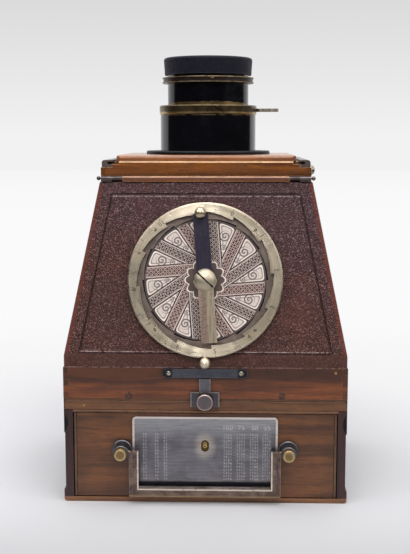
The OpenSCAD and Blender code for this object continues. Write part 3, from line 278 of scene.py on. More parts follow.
@node_group("turning marks", ["Streak", "Tilt X", "Tilt Y"])
def TURNED(t, here):
    """Marks of the lathe about z: streaks along the arc, and a random tilt along the radius."""
    x, y, z = t.split(here)
    across = distance(x, y)
    arc = maths("ARCTAN2", y, x) * 30.0
    streak = t.noise(t.join(across * 1.7, arc * 0.045, z * 0.5), 1.0, 3.0, 0.6)
    tilt = (t.noise(t.join(across * 120.0, arc * 0.15, z * 40.0), 1.0, 1.0) - 0.5) / across
    return [streak, x * tilt, y * tilt]


@node_group("leather grain", ["Bead", "Height"], Scale=1.0)
def PEBBLES(t, here, scale):
    """Pressed leather grain: rounded cells parted by furrows, over a slow swell."""
    bend = t.noise(here, 0.9, 2.0, output="Color")
    moved = t.shift(here, t.stretch(bend, (0.7, 0.7, 0.7)))
    furrow = t.cells(moved, scale, "DISTANCE_TO_EDGE")
    bead = t.ramp(furrow, 0.0, 0.3) * (1 - t.ramp(t.cells(moved, scale), 0.15, 0.95, 0.0, 0.7))
    return [bead, bead * 0.85 + t.noise(here, 0.16, 2.0) * 0.6]


# --- materials


def start(name, store=MAKE.materials):
    """The emptied tree of a new material or world."""
    made = store.new(name)
    made.use_nodes = True
    made.node_tree.nodes.clear()
    return Tree(made.node_tree, made)


def finish(t, rough, metallic=0.0, normal=None, **plain):
    """Ends the tree in one Principled shader; plain holds its uniform values."""
    feeds = {"Base Color": t.base, "Roughness": rough, "Metallic": metallic}
    if normal:
        feeds["Normal"] = normal
    for title, item in plain.items():
        feeds[title.replace("_", " ")] = item
    t.add("OutputMaterial", {"Surface": t.out("BsdfPrincipled", 0, feeds)})
    return t.made


TURNS = {"x": (0, 0, 0), "y": (0, 0, 90), "z": (0, -90, 0)}


def wood(name, dark, light, along="x", centre=(0, 0, 0), pore=0.55, polish=0.25, dim=None,
         edge=None, rough=0.42, lift=0.05, dirt_and_shade=0.75, wear=0.45, arris=None):
    """Polished wood with its fibres along this axis; a band above the height arris is painted as a
    highlight.

    dim(t, x, y, z) may give a mask of where the board has darkened.
    """
    t = start(name)
    here, world = t.place(centre, TURNS[along]), t.place()
    x, y, z = t.split(world)
    deep = [c * 0.42 for c in dark]
    grain = t.use(GRAIN, here)
    t.base = t.mix(grain["Tone"], dark, light)
    t.coat(grain["Pores"] * pore, deep)
    end_grain = t.split(t.out("TexCoord", "Normal"))["xyz".index(along)]
    t.coat(t.ramp(abs(end_grain), 0.6, 0.9) * 0.45, deep)
    if dim:
        t.coat(dim(t, x, y, z), deep)
    cloud = t.use(PATINA, here)["Cloud"]
    t.coat(cloud * 0.22, [c * 0.72 for c in dark])
    worn = t.mask(EDGES, world, Reach=0.5, Amount=wear) * (wear + 0.1)
    # Painted highlight: a ragged band above the arris, laid with the worn edges in the edge colour.
    if arris:
        ragged = t.ramp(t.noise(t.stretch(world, (0.3, 1.0, 1.0)), 0.5, 3.0), 0.3, 0.6, 0.45, 0.95)
        worn = most(worn, t.ramp(z, arris, arris + 0.35) * ragged)
    t.coat(bounded(worn), edge or [min(255, c * 1.25 + 12) for c in light])
    # Painted shade with dust: darker deep in corners and gaps.
    t.coat(t.mask(CORNERS, world, Reach=2.5) * dirt_and_shade, deep)
    hair = t.mask(SCRATCHES, here)
    shine = t.ramp(cloud, 0.0, 1.0, rough, rough + 0.05) + hair * 0.12
    return finish(t, shine, normal=t.relief(grain["Height"] - hair * 0.3, lift),
                  Coat_Weight=polish, Coat_Roughness=0.22)


def metal(name, bright, dull, rough=0.3, cloud=0.5, spots=0.5, edge=None, edge_amount=0.6,
          dirt_and_shade=0.6, brush=None, centre=(0, 0, 0), turn=(0, 0, 0), scratch=0.3, extra=None,
          turned=0.0):
    """Bare or blued metal with tarnish, worn edges, hairlines, and dust with painted shade in its
    corners.

    brush stretches a fine noise in the turned frame to leave tool marks; turned metal has them
    round the frame's z instead, and scatters its gloss along the radius. extra(t, p, x, y, z)
    may paint the metal further before the wear, with p the place x, y, z as one vector.
    """
    t = start(name)
    here = t.place(centre, turn)
    dark = [c * 0.35 for c in dull]
    patina = t.use(PATINA, here)
    t.base = t.mix(patina["Cloud"] * cloud, bright, dull)
    t.coat(patina["Spots"] * spots, dark)
    if extra:
        extra(t, here, *t.split(here))
    hair = t.mask(SCRATCHES, here)
    height = hair * -0.05
    normal = None
    if turned:
        marks = t.use(TURNED, here)
        normal = t.tilt(marks["Tilt X"] * turned, marks["Tilt Y"] * turned, turn)
        t.coat(t.ramp(marks["Streak"], 0.42, 0.62) * 0.13, dark)
    if brush:
        tool = t.noise(t.stretch(here, brush), 1.0, 2.0, 0.6)
        height = height + tool * 0.6
        t.coat(t.ramp(tool, 0.35, 0.65) * 0.22, dark)
    if edge:
        t.coat(t.mask(EDGES, here, Reach=0.35, Amount=edge_amount) * 0.85, edge)
    # Painted shade with dust: darker deep in corners and gaps.
    t.coat(t.mask(CORNERS, here, Reach=1.6) * dirt_and_shade, dark)
    shine = t.ramp(patina["Cloud"], 0.0, 1.0, rough - 0.05, rough + 0.12) + hair * scratch * 0.3
    return finish(t, shine, 1.0, normal or t.relief(height, 0.02))


def lacquer(name, tint=(6, 5, 9), worn=(156, 130, 86), amount=0.42, rough=0.1, extra=None,
            coat=0.2, gloss=0.45):
    """Black lacquer on brass: gloss with faint dust and orange peel, rubbed through at edges.

    extra(t, p, x, y, z) may give a further mask of where the brass shows.
    """
    t = start(name)
    here = t.place()
    chips = t.ramp(t.noise(here, 0.55, 4.0, 0.7), 0.74, 0.78)
    bare = most(t.mask(EDGES, here, Reach=0.35, Amount=amount) * 0.8, chips * 0.5)
    if extra:
        bare = most(bare, extra(t, here, *t.split(here)))
    bare = bounded(bare)
    brass = t.mix(t.use(PATINA, here)["Cloud"] * 0.6, worn, (84, 66, 40))
    film = t.mix(t.noise(here, 0.05, 3.0), tint, [c * 1.7 + 3 for c in tint])
    hair = t.mask(SCRATCHES, here)
    dust = t.ramp(t.noise(here, 0.09, 4.0, 0.6), 0.4, 0.8)
    shine = rough + dust * 0.1 + hair * 0.15 + bare * 0.22
    peel = t.noise(here, 0.45, 2.0)
    t.base = t.mix(bare, film, brass)
    return finish(t, shine, bare, t.relief(peel - hair * 0.4, 0.012),
                  Coat_Weight=coat, Coat_Roughness=0.06, Specular_IOR_Level=gloss)


# Places shared by the finishes and the pieces, as in the CAD part.
DIAL = (0.0, -57.176, 127.9)
DIAL_TURN = 80.528
DIAL_FRAME = Matrix.Translation(DIAL) @ Matrix.Rotation(radians(DIAL_TURN), 4, "X")
LEAN = 4.3
RAIL_TOP_Z = 78.8
BREAK_Z, CONE_TOP_Z = 85.2, 182.9
BAND = (80.3, 64.3)
CONE_TOP = (60.5, 48.0)
LINE_INSET, LINE_LOW_Z, LINE_TOP_Z = 8.7, 87.1, 175.8
FOCUS_Z, FOCUS_TOP_Z, TUBE_TOP_Z, IRIS_TOP_Z = 221.3, 226.7, 239.9, 243.3
KNOB_Z, TONGUE_Z, WINDOW_Z = 60.3, 65.3, 33.4
STUD_X, STUD_Z = 47.3, 31.1
ROLLER_X, ROLLER_Z = 68.7, 69.5
SIDES = ("left", "right")


def darker_above(t, x, y, z):
    """The rails are darker towards their top."""
    return t.ramp(z + t.noise(t.join(x * 0.03, y * 0.03, z * 0.1), 1.0) * 4, 68.4, 76.4, 0.0, 0.55)


def darker_ends(t, x, y, z):
    """Old polish has darkened the boards towards the ends of the face."""
    return t.ramp(abs(x) + t.noise(t.join(x * 0.05, y, z * 0.05), 1.0) * 10, 66.0, 84.0, 0.0, 0.35)


def dark_tongues(t, x, y, z):
    """The lens board's tongues are stained and waxed where they run in the guides."""
    return t.ramp(abs(x), 52.0, 52.6, 0.0, 0.9)


def rubbed_front(t, x, y, z):
    """The lens frame is darker low down and towards its ends."""
    return most(t.ramp(z, 187.4, 194.0, 0.35, 0.0), t.ramp(abs(x), 52.5, 59.7, 0.0, 0.6))


MAHOGANY = {"dark": (70, 34, 24), "light": (146, 80, 38), "dim": darker_above}

NODE_FINISH = {
    "magazine_floor": wood(
        "floor_wood", (92, 56, 34), (152, 102, 64), pore=0.4, edge=(186, 144, 104), wear=0.7),
    "magazine_back": wood("back_wood", (76, 48, 36), (114, 76, 54), centre=(30, 60, 9)),
    "magazine_top": wood(
        "top_frame_wood", (76, 44, 27), (130, 84, 49), centre=(9, 4, 60), edge=(176, 132, 98),
        wear=0.6),
    "drawer_front": wood(
        "drawer_panel_wood", (62, 33, 19), (132, 80, 41), centre=(50, 7, 21), pore=0.6,
        dim=darker_ends, lift=0.06),
    "drawer_tray": wood("drawer_tray_wood", (96, 66, 44), (140, 104, 74), "y", polish=0.05),
    "base_rail_front": wood("rail_front_wood", centre=(140, 3, 66), **MAHOGANY),
    "base_rail_back": wood("rail_back_wood", centre=(-90, 9, 41), **MAHOGANY),
    # These three woods have bright edge colours and full wear, so their worn edges also stand as
    # painted highlights.
    "lens_frame": wood(
        "lens_frame_wood", (70, 29, 8), (176, 102, 36), centre=(0, 20, 186), dim=rubbed_front,
        pore=0.7, rough=0.26, polish=0.9, edge=(236, 178, 112), wear=1.0, arris=193.4),
    "lens_board": wood(
        "lens_board_wood", (116, 66, 36), (194, 128, 76), centre=(33, 5, 195), pore=0.35, rough=0.3,
        polish=0.55, dim=dark_tongues, edge=(240, 196, 144), wear=1.0),
    "front_bead": wood(
        "bead_wood", (96, 46, 26), (160, 92, 48), centre=(12, 48, 183), rough=0.3, polish=0.7,
        edge=(222, 168, 118), wear=0.8, arris=185.3),
    "shutter_board": wood("shutter_board_wood", (24, 22, 24), (40, 36, 36), polish=0.0, rough=0.6),
}
# Each side's own places in the wood's figure.
for _side, _wall, _rail in zip(SIDES, ((-75, 0, 20), (75, 12, 50)), ((-80, 44, 70), (80, -30, 62))):
    NODE_FINISH["magazine_side_" + _side] = wood(
        "side_wood_" + _side, (38, 18, 21), (70, 38, 36), "z", _wall, dirt_and_shade=0.9, polish=0.05)
    NODE_FINISH["base_rail_" + _side] = wood(f"rail_{_side}_wood", along="y", centre=_rail,
                                             **MAHOGANY)
for _side, _shift in (("front", 35), ("back", 28), ("left", 28), ("right", 35)):
    NODE_FINISH["cone_" + _side] = wood(
        "body_board_" + _side, (30, 27, 28), (48, 42, 40), polish=0.0, rough=0.62,
        centre=(_shift, 3, 100))


def silver_extra(t, p, x, y, z):
    """The dial's ring is painted darker and warmer at its sides and olive in broad patches to the
    left, right, upper right and lower left, as painted shade; it is brown within.
    """
    across = distance(x, y)
    # Painted shade: the sides and the four patches darken the ring where its turned face catches
    # less light.
    t.coat(t.ramp(abs(x), 8.0, 28.0) * 0.5, (176, 160, 136))
    left = t.ramp(x + y * 0.6, 30.0, -45.0) * 0.24
    right = t.ramp(x - y * 1.2, 42.0, 62.0) * 0.55
    high = t.ramp(x * 0.42 + y * 0.91, 35.5, 41.0) * 0.6
    foot = t.ramp(x * -0.45 - y * 0.89, 35.5, 41.0) * 0.65
    face = t.ramp(across, 42.7, 42.2, 0.35, 1.0)
    t.coat(most(most(left, right), most(high, foot)) * face, (124, 114, 94))
    t.coat(t.ramp(across, 39.0, 37.0) * 0.4, (112, 92, 76))


def index_extra(t, p, x, y, z):
    """The left half of the index bar is rubbed to a pinkish ground."""
    across = x * cos(radians(LEAN)) + y * sin(radians(LEAN))
    stain = t.ramp(t.noise(t.join(x * 1.3, y * 0.1, z), 1.0, 3.0), 0.46, 0.62)
    t.coat(stain * 0.4, (128, 116, 94))
    t.coat(t.ramp(across, -0.3, -0.6) * 0.55, (164, 132, 126))


def slot_extra(t, p, x, y, z):
    """The slot of the centre screw is painted dark, as painted shade inside it."""
    turn = radians(43 + LEAN)
    t.coat(t.ramp(abs(x * cos(turn) + y * sin(turn)), 0.52, 0.46), (20, 16, 14))


def plaque_extra(t, p, x, y, z):
    """The metal round the window is rubbed bright; the plate is painted lighter towards its top as
    painted light, its foot darker as painted shade, and its raised rim near white as a painted
    highlight.
    """
    rim = t.ramp(0 - y, 64.2, 64.35)
    away = distance(x * 1.15, (z - WINDOW_Z) * 0.85)
    ragged = t.noise(p, 0.28, 3.0, 0.6) * 3.2
    # Painted light: lighter towards the top of the plate.
    t.coat(t.ramp(z, 34.0, 49.0) * 0.65, (200, 200, 204))
    t.coat(t.ramp(away + ragged, 10.4, 4.6) * 0.75, (206, 194, 186))
    # Painted shade: a dark band low on the plate.
    t.coat(t.ramp(z, 13.0, 11.8) * t.ramp(z, 9.2, 9.4) * 0.9, (26, 29, 40))
    # Painted highlight on the raised rim.
    t.coat(rim, (252, 238, 232))


def bail_extra(t, p, x, y, z):
    """Purple heat tint on the bail's uprights, a gilded foot, and upper and inner edges rubbed
    bright and painted as highlights.
    """
    patch = t.ramp(t.noise(t.stretch(p, (0.4, 1.0, 0.16)), 1.0, 3.0), 0.55, 0.66)
    t.coat(patch * t.ramp(abs(x), 38.0, 40.0) * 0.6, (86, 62, 88))
    t.coat(t.ramp(z, 6.6, 5.8) * 0.6, (176, 146, 100))
    # Painted highlight with wear along the upper and inner edges.
    within = least(most(abs(x) - 37.55, 10.0 - z), 9.0)
    rubbed = t.ramp(within, 0.95, 0.55) * t.ramp(t.noise(p, 0.3, 3.0), 0.3, 0.45, 0.4, 1.0)
    t.coat(rubbed, (255, 238, 220))


def eye_extra(t, p, x, y, z):
    """The crossbar's eyes, round its screws, are darker than the bar."""
    t.coat(t.ramp(abs(x), 17.8, 19.2) * 0.75, (38, 34, 36))


def tongue_extra(t, p, x, y, z):
    """The tongue's plate is darker than its arm, with its outline rubbed bright and painted as a
    highlight.
    """
    plate = z < TONGUE_Z
    t.coat(plate * 0.6, (74, 72, 74))
    # Painted highlight with wear along the plate's outline and the arm's sides.
    inside = least(8.2 - abs(x), TONGUE_Z - z) * plate + (3.3 - abs(x)) * (1 - plate)
    rubbed = t.ramp(inside, 0.8, 0.4) * t.ramp(t.noise(p, 0.35, 3.0), 0.35, 0.55, 0.25, 0.9)
    t.coat(rubbed * 0.8, (196, 184, 174))


def knob_extra(t, p, x, y, z):
    """The latch knob's rim is rubbed bright and painted as a highlight; its face is dull."""
    away = distance(x, z - KNOB_Z)
    t.coat(t.ramp(away, 3.6, 3.3) * 0.4, (96, 90, 92))
    # Painted highlight with wear on the rim.
    t.coat(t.ramp(abs(away - 4.3), 0.4, 0.2) * 0.7, (206, 178, 168))


def stud_extra(t, p, x, y, z):
    """A darker centre on the faces of the drawer's knobs, and a bright ring near each rim painted
    as a highlight.
    """
    away = distance(abs(x) - STUD_X, z - STUD_Z)
    t.coat(t.ramp(away, 2.3, 1.6) * 0.45, (128, 100, 66))
    # Painted highlight: the bright ring near the rim.
    t.coat(t.ramp(abs(away - 2.7), 0.4, 0.2) * 0.8, (226, 200, 150))


DIAL_PLACE = {"centre": DIAL, "turn": (DIAL_TURN, 0, 0)}
NODE_FINISH.update({
    "scale_ring": metal(
        "ring_silver", (248, 234, 210), (214, 196, 168), 0.3, 0.35, 0.08, (246, 238, 222), 0.9,
        extra=silver_extra, turned=2.6, **DIAL_PLACE),
    "index_bar": metal(
        "index_silver", (208, 192, 166), (160, 144, 122), 0.34, 0.4, 0.15, (236, 228, 208), 0.7,
        brush=(1.6, 0.04, 1.0), extra=index_extra, **DIAL_PLACE),
    "step_ring": metal(
        "step_ring_bronze", (150, 134, 124), (96, 82, 76), 0.4, 0.6, 0.3, (196, 180, 164), 0.7,
        turned=1.2, dirt_and_shade=0.45, **DIAL_PLACE),
    "dial_base": metal("dial_base_steel", (70, 66, 70), (44, 40, 44), 0.45, 0.6, 0.4, **DIAL_PLACE),
    "pointer_arm": metal(
        "pointer_blued", (70, 66, 78), (50, 47, 60), 0.46, 0.4, 0.2, (112, 108, 116), 0.45,
        brush=(2.0, 0.05, 1.0), **DIAL_PLACE),
    "centre_screw": metal(
        "centre_nickel", (196, 184, 162), (172, 160, 138), 0.5, 0.35, 0.15, (244, 238, 222), 0.5,
        extra=slot_extra, **DIAL_PLACE),
    "pointer_ball": metal(
        "ball_nickel", (206, 190, 164), (166, 148, 122), 0.32, 0.4, 0.2, **DIAL_PLACE),
    "exposure_table": metal(
        "table_plaque", (138, 136, 142), (106, 104, 112), 0.36, 0.5, 0.12, (236, 222, 212), 0.9,
        brush=(0.06, 1.0, 1.2), extra=plaque_extra, scratch=0.6, dirt_and_shade=0.35),
    "counter_wheel": metal(
        "counter_brass", (112, 90, 54), (70, 54, 34), 0.36, 0.5, 0.5, (206, 172, 104), 0.5),
    "bail_handle": metal(
        "bail_bronze", (146, 127, 114), (90, 74, 70), 0.33, 0.75, 0.5, (232, 214, 188), 0.95,
        extra=bail_extra, brush=(0.08, 1.0, 1.6)),
    "bail_bosses": metal(
        "boss_blued", (106, 105, 110), (66, 64, 70), 0.36, 0.5, 0.3, (196, 190, 188), 0.9),
    "bail_knobs": metal(
        "knob_brass", (178, 152, 110), (134, 110, 76), 0.36, 0.5, 0.4, (244, 228, 190), 0.95,
        extra=stud_extra, brush=(1.6, 0.1, 1.6)),
    "latch_crossbar": metal(
        "latch_bar_blued", (108, 110, 120), (76, 76, 86), 0.38, 0.5, 0.3, (170, 160, 154), 0.7,
        extra=eye_extra, brush=(0.08, 1.0, 2.0)),
    "latch_tongue": metal(
        "latch_tongue_blued", (134, 132, 140), (88, 86, 92), 0.4, 0.5, 0.3, (176, 168, 158), 0.9,
        extra=tongue_extra, brush=(1.6, 1.0, 0.1)),
    "latch_knob": metal(
        "latch_nickel", (136, 128, 130), (104, 96, 98), 0.36, 0.4, 0.2, (214, 192, 184), 1.0,
        extra=knob_extra),
    "frame_knuckles": metal(
        "frame_hinge_blued", (104, 92, 90), (66, 58, 58), 0.4, 0.6, 0.4, (190, 176, 168), 0.8),
    "body_knuckles": metal(
        "body_hinge_blued", (112, 100, 98), (66, 58, 58), 0.4, 0.6, 0.4, (190, 176, 168), 0.8),
    "board_lock_knob": metal(
        "lock_nickel", (168, 160, 146), (120, 112, 100), 0.28, 0.5, 0.3, (214, 204, 186), 0.7),
    "tripod_bush": metal(
        "bush_brass", (184, 150, 86), (132, 104, 58), 0.3, 0.5, 0.4, (216, 184, 118), 0.5),
    "slit_carriage": metal("slit_steel", (120, 118, 116), (80, 76, 74), 0.35, 0.5, 0.3),
    "plate_sheaths": metal(
        "sheath_tin", (58, 58, 62), (36, 36, 40), 0.42, 0.5, 0.4, (128, 126, 124), 0.6),
    "pressure_springs": metal("spring_steel", (146, 144, 142), (92, 88, 86), 0.3, 0.5, 0.3),
})


def ring_line(t, z, level, half):
    """1 near this level and 0 further than half from it, in millimetres."""
    return t.ramp(abs(z - level), half, half * 0.6)


def focus_extra(t, p, x, y, z):
    """Olive lacquer left on the ring's upper part, bright brass along its lower edge and lever."""
    ragged = t.noise(p, 0.5, 3.0) * 0.8
    kept = t.ramp(z + ragged, FOCUS_Z + 1.3, FOCUS_Z + 2.3)
    ring = t.ramp(distance(x, y), 31.0, 30.0)
    t.coat(kept * ring * 0.9, (74, 62, 46))
    lever = t.ramp(x, 31.0, 31.6)
    t.coat(lever * t.ramp(z, 222.5, 224.5, 0.7, 1.0), (255, 236, 216))


def iris_bare(t, p, x, y, z):
    """Brass shows along the beads of the iris ring."""
    top = ring_line(t, z, IRIS_TOP_Z - 0.15, 0.4)
    low = ring_line(t, z, TUBE_TOP_Z + 0.2, 0.35)
    ragged = t.noise(p, 0.3, 3.0)
    return (top + low * 0.55) * t.ramp(ragged, 0.3, 0.5, 0.3, 1.0)


def tube_bare(t, p, x, y, z):
    """A crescent at the front, rubbed through by the lever's ring."""
    ragged = t.noise(p, 0.22, 3.0) - t.ramp(y, 0.0, -20.0)
    return t.ramp(z + ragged * 2.0, FOCUS_TOP_Z + 1.2, FOCUS_TOP_Z + 0.4) * 0.9


def mount_bare(t, p, x, y, z):
    """The top edge of the lower barrel has lost its lacquer."""
    ragged = t.noise(p, 0.3, 3.0)
    return ring_line(t, z, FOCUS_Z - 0.4, 0.4) * t.ramp(ragged, 0.4, 0.6) * 0.6


NODE_FINISH.update({
    "lens_flange": lacquer("flange_lacquer", amount=0.3, rough=0.42, coat=0.0, gloss=0.2),
    "lens_mount": lacquer("mount_lacquer", amount=0.25, extra=mount_bare),
    "lens_tube": lacquer("barrel_lacquer", amount=0.3, extra=tube_bare, coat=0.05, gloss=0.33),
    "iris_ring": lacquer(
        "iris_lacquer", (26, 16, 12), (196, 174, 140), 0.3, 0.3, iris_bare, 0.0, 0.3),
    "front_rim": lacquer("rim_lacquer", amount=0.35),
    "focus_ring": metal(
        "focus_bronze", (190, 166, 120), (140, 116, 76), 0.3, 0.5, 0.3, (222, 202, 160), 0.6,
        extra=focus_extra, brush=(0.1, 0.1, 2.5)),
})


def cap_finish():
    """Black pebbled leather over the cap, greyed where it is handled."""
    t = start("cap_leather")
    here = t.place()
    grain = t.use(PEBBLES, here, Scale=1.35)
    t.base = t.mix(grain["Bead"], (6, 6, 14), (24, 27, 50))
    t.coat(t.mask(EDGES, here, Reach=1.2, Amount=0.55) * 0.5, (80, 80, 90))
    return finish(t, t.ramp(grain["Bead"], 0, 1, 0.62, 0.44), 0.0,
                  t.relief(grain["Height"], 0.17), Specular_IOR_Level=0.22)


def cloth_finish():
    """Wound black shutter cloth: a fine plain weave."""
    t = start("shutter_cloth")
    x, y, z = t.split(t.place())
    turn = maths("ARCTAN2", z - ROLLER_Z, abs(x) - ROLLER_X) * 5.6
    weave = sine(y * 12.0) * sine(turn * 12.0)
    t.base = t.mix(t.ramp(weave, -1, 1), (16, 16, 18), (44, 43, 46))
    return finish(t, 0.85, 0.0, t.relief(weave, 0.05), Sheen_Weight=0.3)


def glass_finish(name, tint, rough):
    """Clear glass with a breath of dust in its roughness."""
    t = start(name)
    dust = t.ramp(t.noise(t.place(), 0.2, 3.0), 0.4, 0.8, rough, rough + 0.06)
    t.base = colour(*tint)
    return finish(t, dust, 0.0, IOR=1.52, Transmission_Weight=1.0)


NODE_FINISH.update({
    "lens_cap": cap_finish(),
    "glass_plates": glass_finish("plate_glass", (224, 236, 228), 0.03),
    "rear_element": glass_finish("rear_glass", (246, 248, 246), 0.0),
    "front_element": glass_finish("front_glass", (246, 248, 246), 0.0),
})
for _side in SIDES:
    NODE_FINISH["runner_" + _side] = lacquer("runner_lacquer_" + _side, (16, 13, 16), amount=0.4,
                                             rough=0.5, coat=0.0, gloss=0.2)
    NODE_FINISH["guide_rail_" + _side] = lacquer("guide_lacquer_" + _side, (62, 52, 50),
                                                 amount=0.5, rough=0.35)
    NODE_FINISH["roller_" + _side] = cloth_finish()


def disc_finish():
    """The printed disc: twelve parallel strips laid like a pinwheel, cream leaves between them.

    A strip runs along a, its centre line b millimetres beside the disc's centre. A leaf is what
    lies between one strip and the next, and carries a spiral of its own.
    """
    t = start("printed_disc")
    here = t.place(**DIAL_PLACE)
    x, y, z = t.split(here)
    around, across = maths("ARCTAN2", y, x), distance(x, y)
    step = tau / 12
    first = radians(4.8)
    low_b, high_b = -10.2, -3.2
    grit = t.noise(t.join(x, y, 0.0), 1.3, 2.0)
    skew = maths("ARCSINE", least(-low_b / across, 1.0))
    count = maths("FLOOR", (around + skew - first) / step)
    turn = count * step + first
    a = x * cosine(turn) + y * sine(turn)
    b = y * cosine(turn) - x * sine(turn)
    strip = b < high_b
    inside = least(b - low_b, high_b - b)
    line = t.ramp(abs(inside - 0.75), 0.34, 0.14) * strip
    red = maths("FLOORED_MODULO", count, 2.0) < 0.5
    chain = distance(fraction((a + b) / 2.6) - 0.5, fraction((a - b) / 2.6) - 0.5)
    net = t.ramp(abs(chain - 0.32) + (grit - 0.5) * 0.16, 0.085, 0.05) * (inside > 1.0)
    # The leaf's own axis runs half a step on from the strip's.
    next_b = b * cos(step) - a * sin(step)
    edge_gap = least(b - high_b, low_b - next_b)
    leaf_gap = maths("SMOOTH_MIN", edge_gap, 33.5 - across, 2.6)
    leaf = t.ramp(leaf_gap, 0.2, 0.4)
    border = t.ramp(abs(leaf_gap - 1.3), 0.36, 0.16)
    shaded = t.ramp(leaf_gap, 1.2, 1.7) * t.ramp(grit, 0.35, 0.62, 0.25, 0.75)
    lean = step / 2
    here_a = a * cos(lean) + (b - high_b) * sin(lean)
    here_b = (b - high_b) * cos(lean) - a * sin(lean)
    tip_a, tip_b = 13.1 * cos(lean), -13.1 * sin(lean)
    scrolls = []
    for out, size, wind in ((14.4, 3.4, 1.0), (8.4, 2.0, -1.0), (4.8, 1.1, 1.0)):
        da, db = here_a - (tip_a + out), here_b - tip_b
        reach = distance(da, db)
        angle = maths("ARCTAN2", db, da) * (wind / tau)
        coil = abs(fraction(reach / (size * 0.5) + angle) - 0.5)
        scrolls.append(t.ramp(coil, 0.2, 0.34) * t.ramp(reach, size, size * 0.86))
    scroll = most(most(scrolls[0], scrolls[1]), scrolls[2])
    brown, cream = (38, 22, 27), (255, 240, 230)
    ground = t.mix(red * strip, brown, (68, 14, 18))
    print_ = t.mix(bounded(net * strip * 0.9), ground, (248, 224, 212))
    print_ = t.mix(bounded(line * 0.8), print_, cream)
    ink = t.mix(grit, (92, 78, 76), (128, 112, 108))
    leafy = t.mix(shaded * 0.38, cream, ink)
    leafy = t.mix(bounded(most(scroll * 0.9, border * 0.7)), leafy, (84, 70, 70))
    in_leaf = bounded(leaf * (1 - strip))
    t.base = t.mix(in_leaf, print_, leafy)
    lobes = abs(cosine(around * 6.0 - first * 6.0 + 0.5)) * 2.0 + 9.4
    t.coat(across < lobes, (84, 66, 60))
    t.coat(t.ramp(abs(across - lobes), 0.48, 0.28), cream)
    t.coat(t.ramp(across, 33.3, 33.7), (84, 68, 68))
    t.coat(t.use(PATINA, here)["Cloud"] * 0.14, (150, 128, 112))
    # Painted shade with dust in the disc's corners.
    t.coat(t.mask(CORNERS, t.place(), Reach=2.2) * 0.45, (58, 44, 42))
    return finish(t, 0.48, 0.0, t.relief(in_leaf * 0.5 + net * 0.3, 0.03),
                  Coat_Weight=0.15, Coat_Roughness=0.3)


NODE_FINISH["printed_disc"] = disc_finish()

for _node, _made in NODE_FINISH.items():
    for _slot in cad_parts[_node].material_slots:
        _slot.material = _made

# --- surface kit


def quads(rows, cols, wrap_rows=False, wrap_cols=False):
    """Corner numbers of the quads of a rows by cols grid, wrapped where asked."""
    r = np.arange(rows if wrap_rows else rows - 1)
    c = np.arange(cols if wrap_cols else cols - 1)
    r0, c0 = np.meshgrid(r, c, indexing="ij")
    r1, c1 = (r0 + 1) % rows, (c0 + 1) % cols
    corners = [r0 * cols + c0, r0 * cols + c1, r1 * cols + c1, r1 * cols + c0]
    return np.stack(corners, -1).reshape(-1, 4)


def outward(points, faces):
    """The quads, all turned over if the closed shape they bound has a negative volume."""
    volume = sum(np.linalg.det(points[faces[:, half]]).sum() for half in ([0, 1, 2], [0, 2, 3]))
    return faces if volume > 0 else faces[:, ::-1]


def placed(name, data):
    """A new object in the scene that shows this mesh, figure, camera or lamp."""
    made = MAKE.objects.new(name, data)
    SCENE.collection.objects.link(made)
    return made


def piece(name, shapes, finish_, body, frame_=Matrix.Identity(4), smooth=30):
    """One object from (points in mm, faces) shapes, set in frame_, riding on the body."""
    verts, faces, count = [], [], 0
    for points, corners in shapes:
        verts.append(points)
        faces.extend((corners + count).tolist())
        count += len(points)
    verts = np.concatenate(verts)
    turned = verts @ np.array(frame_)[:3, :3].T + np.array(frame_)[:3, 3]
    mesh = MAKE.meshes.new(name)
    mesh.from_pydata((turned * MM).tolist(), [], faces)
    mesh.validate()
    mesh.polygons.foreach_set("use_smooth", [True] * len(mesh.polygons))
    mesh.set_sharp_from_angle(angle=radians(smooth))
    mesh.materials.append(finish_)
    made = placed(name, mesh)
    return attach(made, body)


def slab(top, bottom):
    """Closed solid between two grids of points of the same shape (rows, cols, 3)."""
    rows, cols = top.shape[:2]
    count = rows * cols
    lid = quads(rows, cols)
    rim = np.concatenate([
        np.arange(cols), np.arange(1, rows) * cols + cols - 1,
        (rows - 1) * cols + np.arange(cols - 2, -1, -1), np.arange(rows - 2, 0, -1) * cols])
    ahead = np.roll(rim, -1)
    side = np.stack([rim, rim + count, ahead + count, ahead], -1)
    points = np.concatenate([top.reshape(-1, 3), bottom.reshape(-1, 3)])
    faces = np.concatenate([lid, lid[:, ::-1] + count, side])
    return points, outward(points, faces)


def swung(centre, x, y, turn):
    """x and y from the centre, after a turn about it by these degrees."""
    c, s = cos(radians(turn)), sin(radians(turn))
    return centre[0] + x * c - y * s, centre[1] + x * s + y * c


def bar(centre, half, turn=0.0):
    """Flat bar with the given centre and half sizes, turned about its own upright axis."""
    x, y = np.meshgrid([-half[0], half[0]], [-half[1], half[1]], indexing="ij")
    flat = swung(centre, x, y, turn)
    return slab(*[np.stack([*flat, np.full_like(x, level)], -1)
                  for level in (centre[2] + half[2], centre[2] - half[2])])


def screw_head(centre, radius, rise, turn=0.0, slot_w=0.6, slot_deep=0.5, sink=0.4):
    """Slotted head: s runs across the slot and t along each chord of the disc.

    Its height is rise times 1 minus the squared distance over the squared radius, and lies
    slot_deep lower where s is inside the slot.
    """
    cut = slot_w / radius / 2
    s = np.array([cut, cut + 0.03, 0.35, 0.55, 0.75, 0.9, 0.999])
    s = np.sort([*-s, *s])
    v = np.sin(np.linspace(-0.5, 0.5, 11) * pi)
    across, along = np.meshgrid(s, v, indexing="ij")
    along = along * np.sqrt(1 - across ** 2)
    height = rise * (1 - across ** 2 - along ** 2)
    height = np.where(np.abs(across) < cut + 0.01, height - slot_deep, height)
    x, y = swung(centre, radius * across, radius * along, turn)
    return slab(np.stack([x, y, centre[2] + height], -1),
                np.stack([x, y, np.full_like(x, centre[2] - sink - slot_deep)], -1))


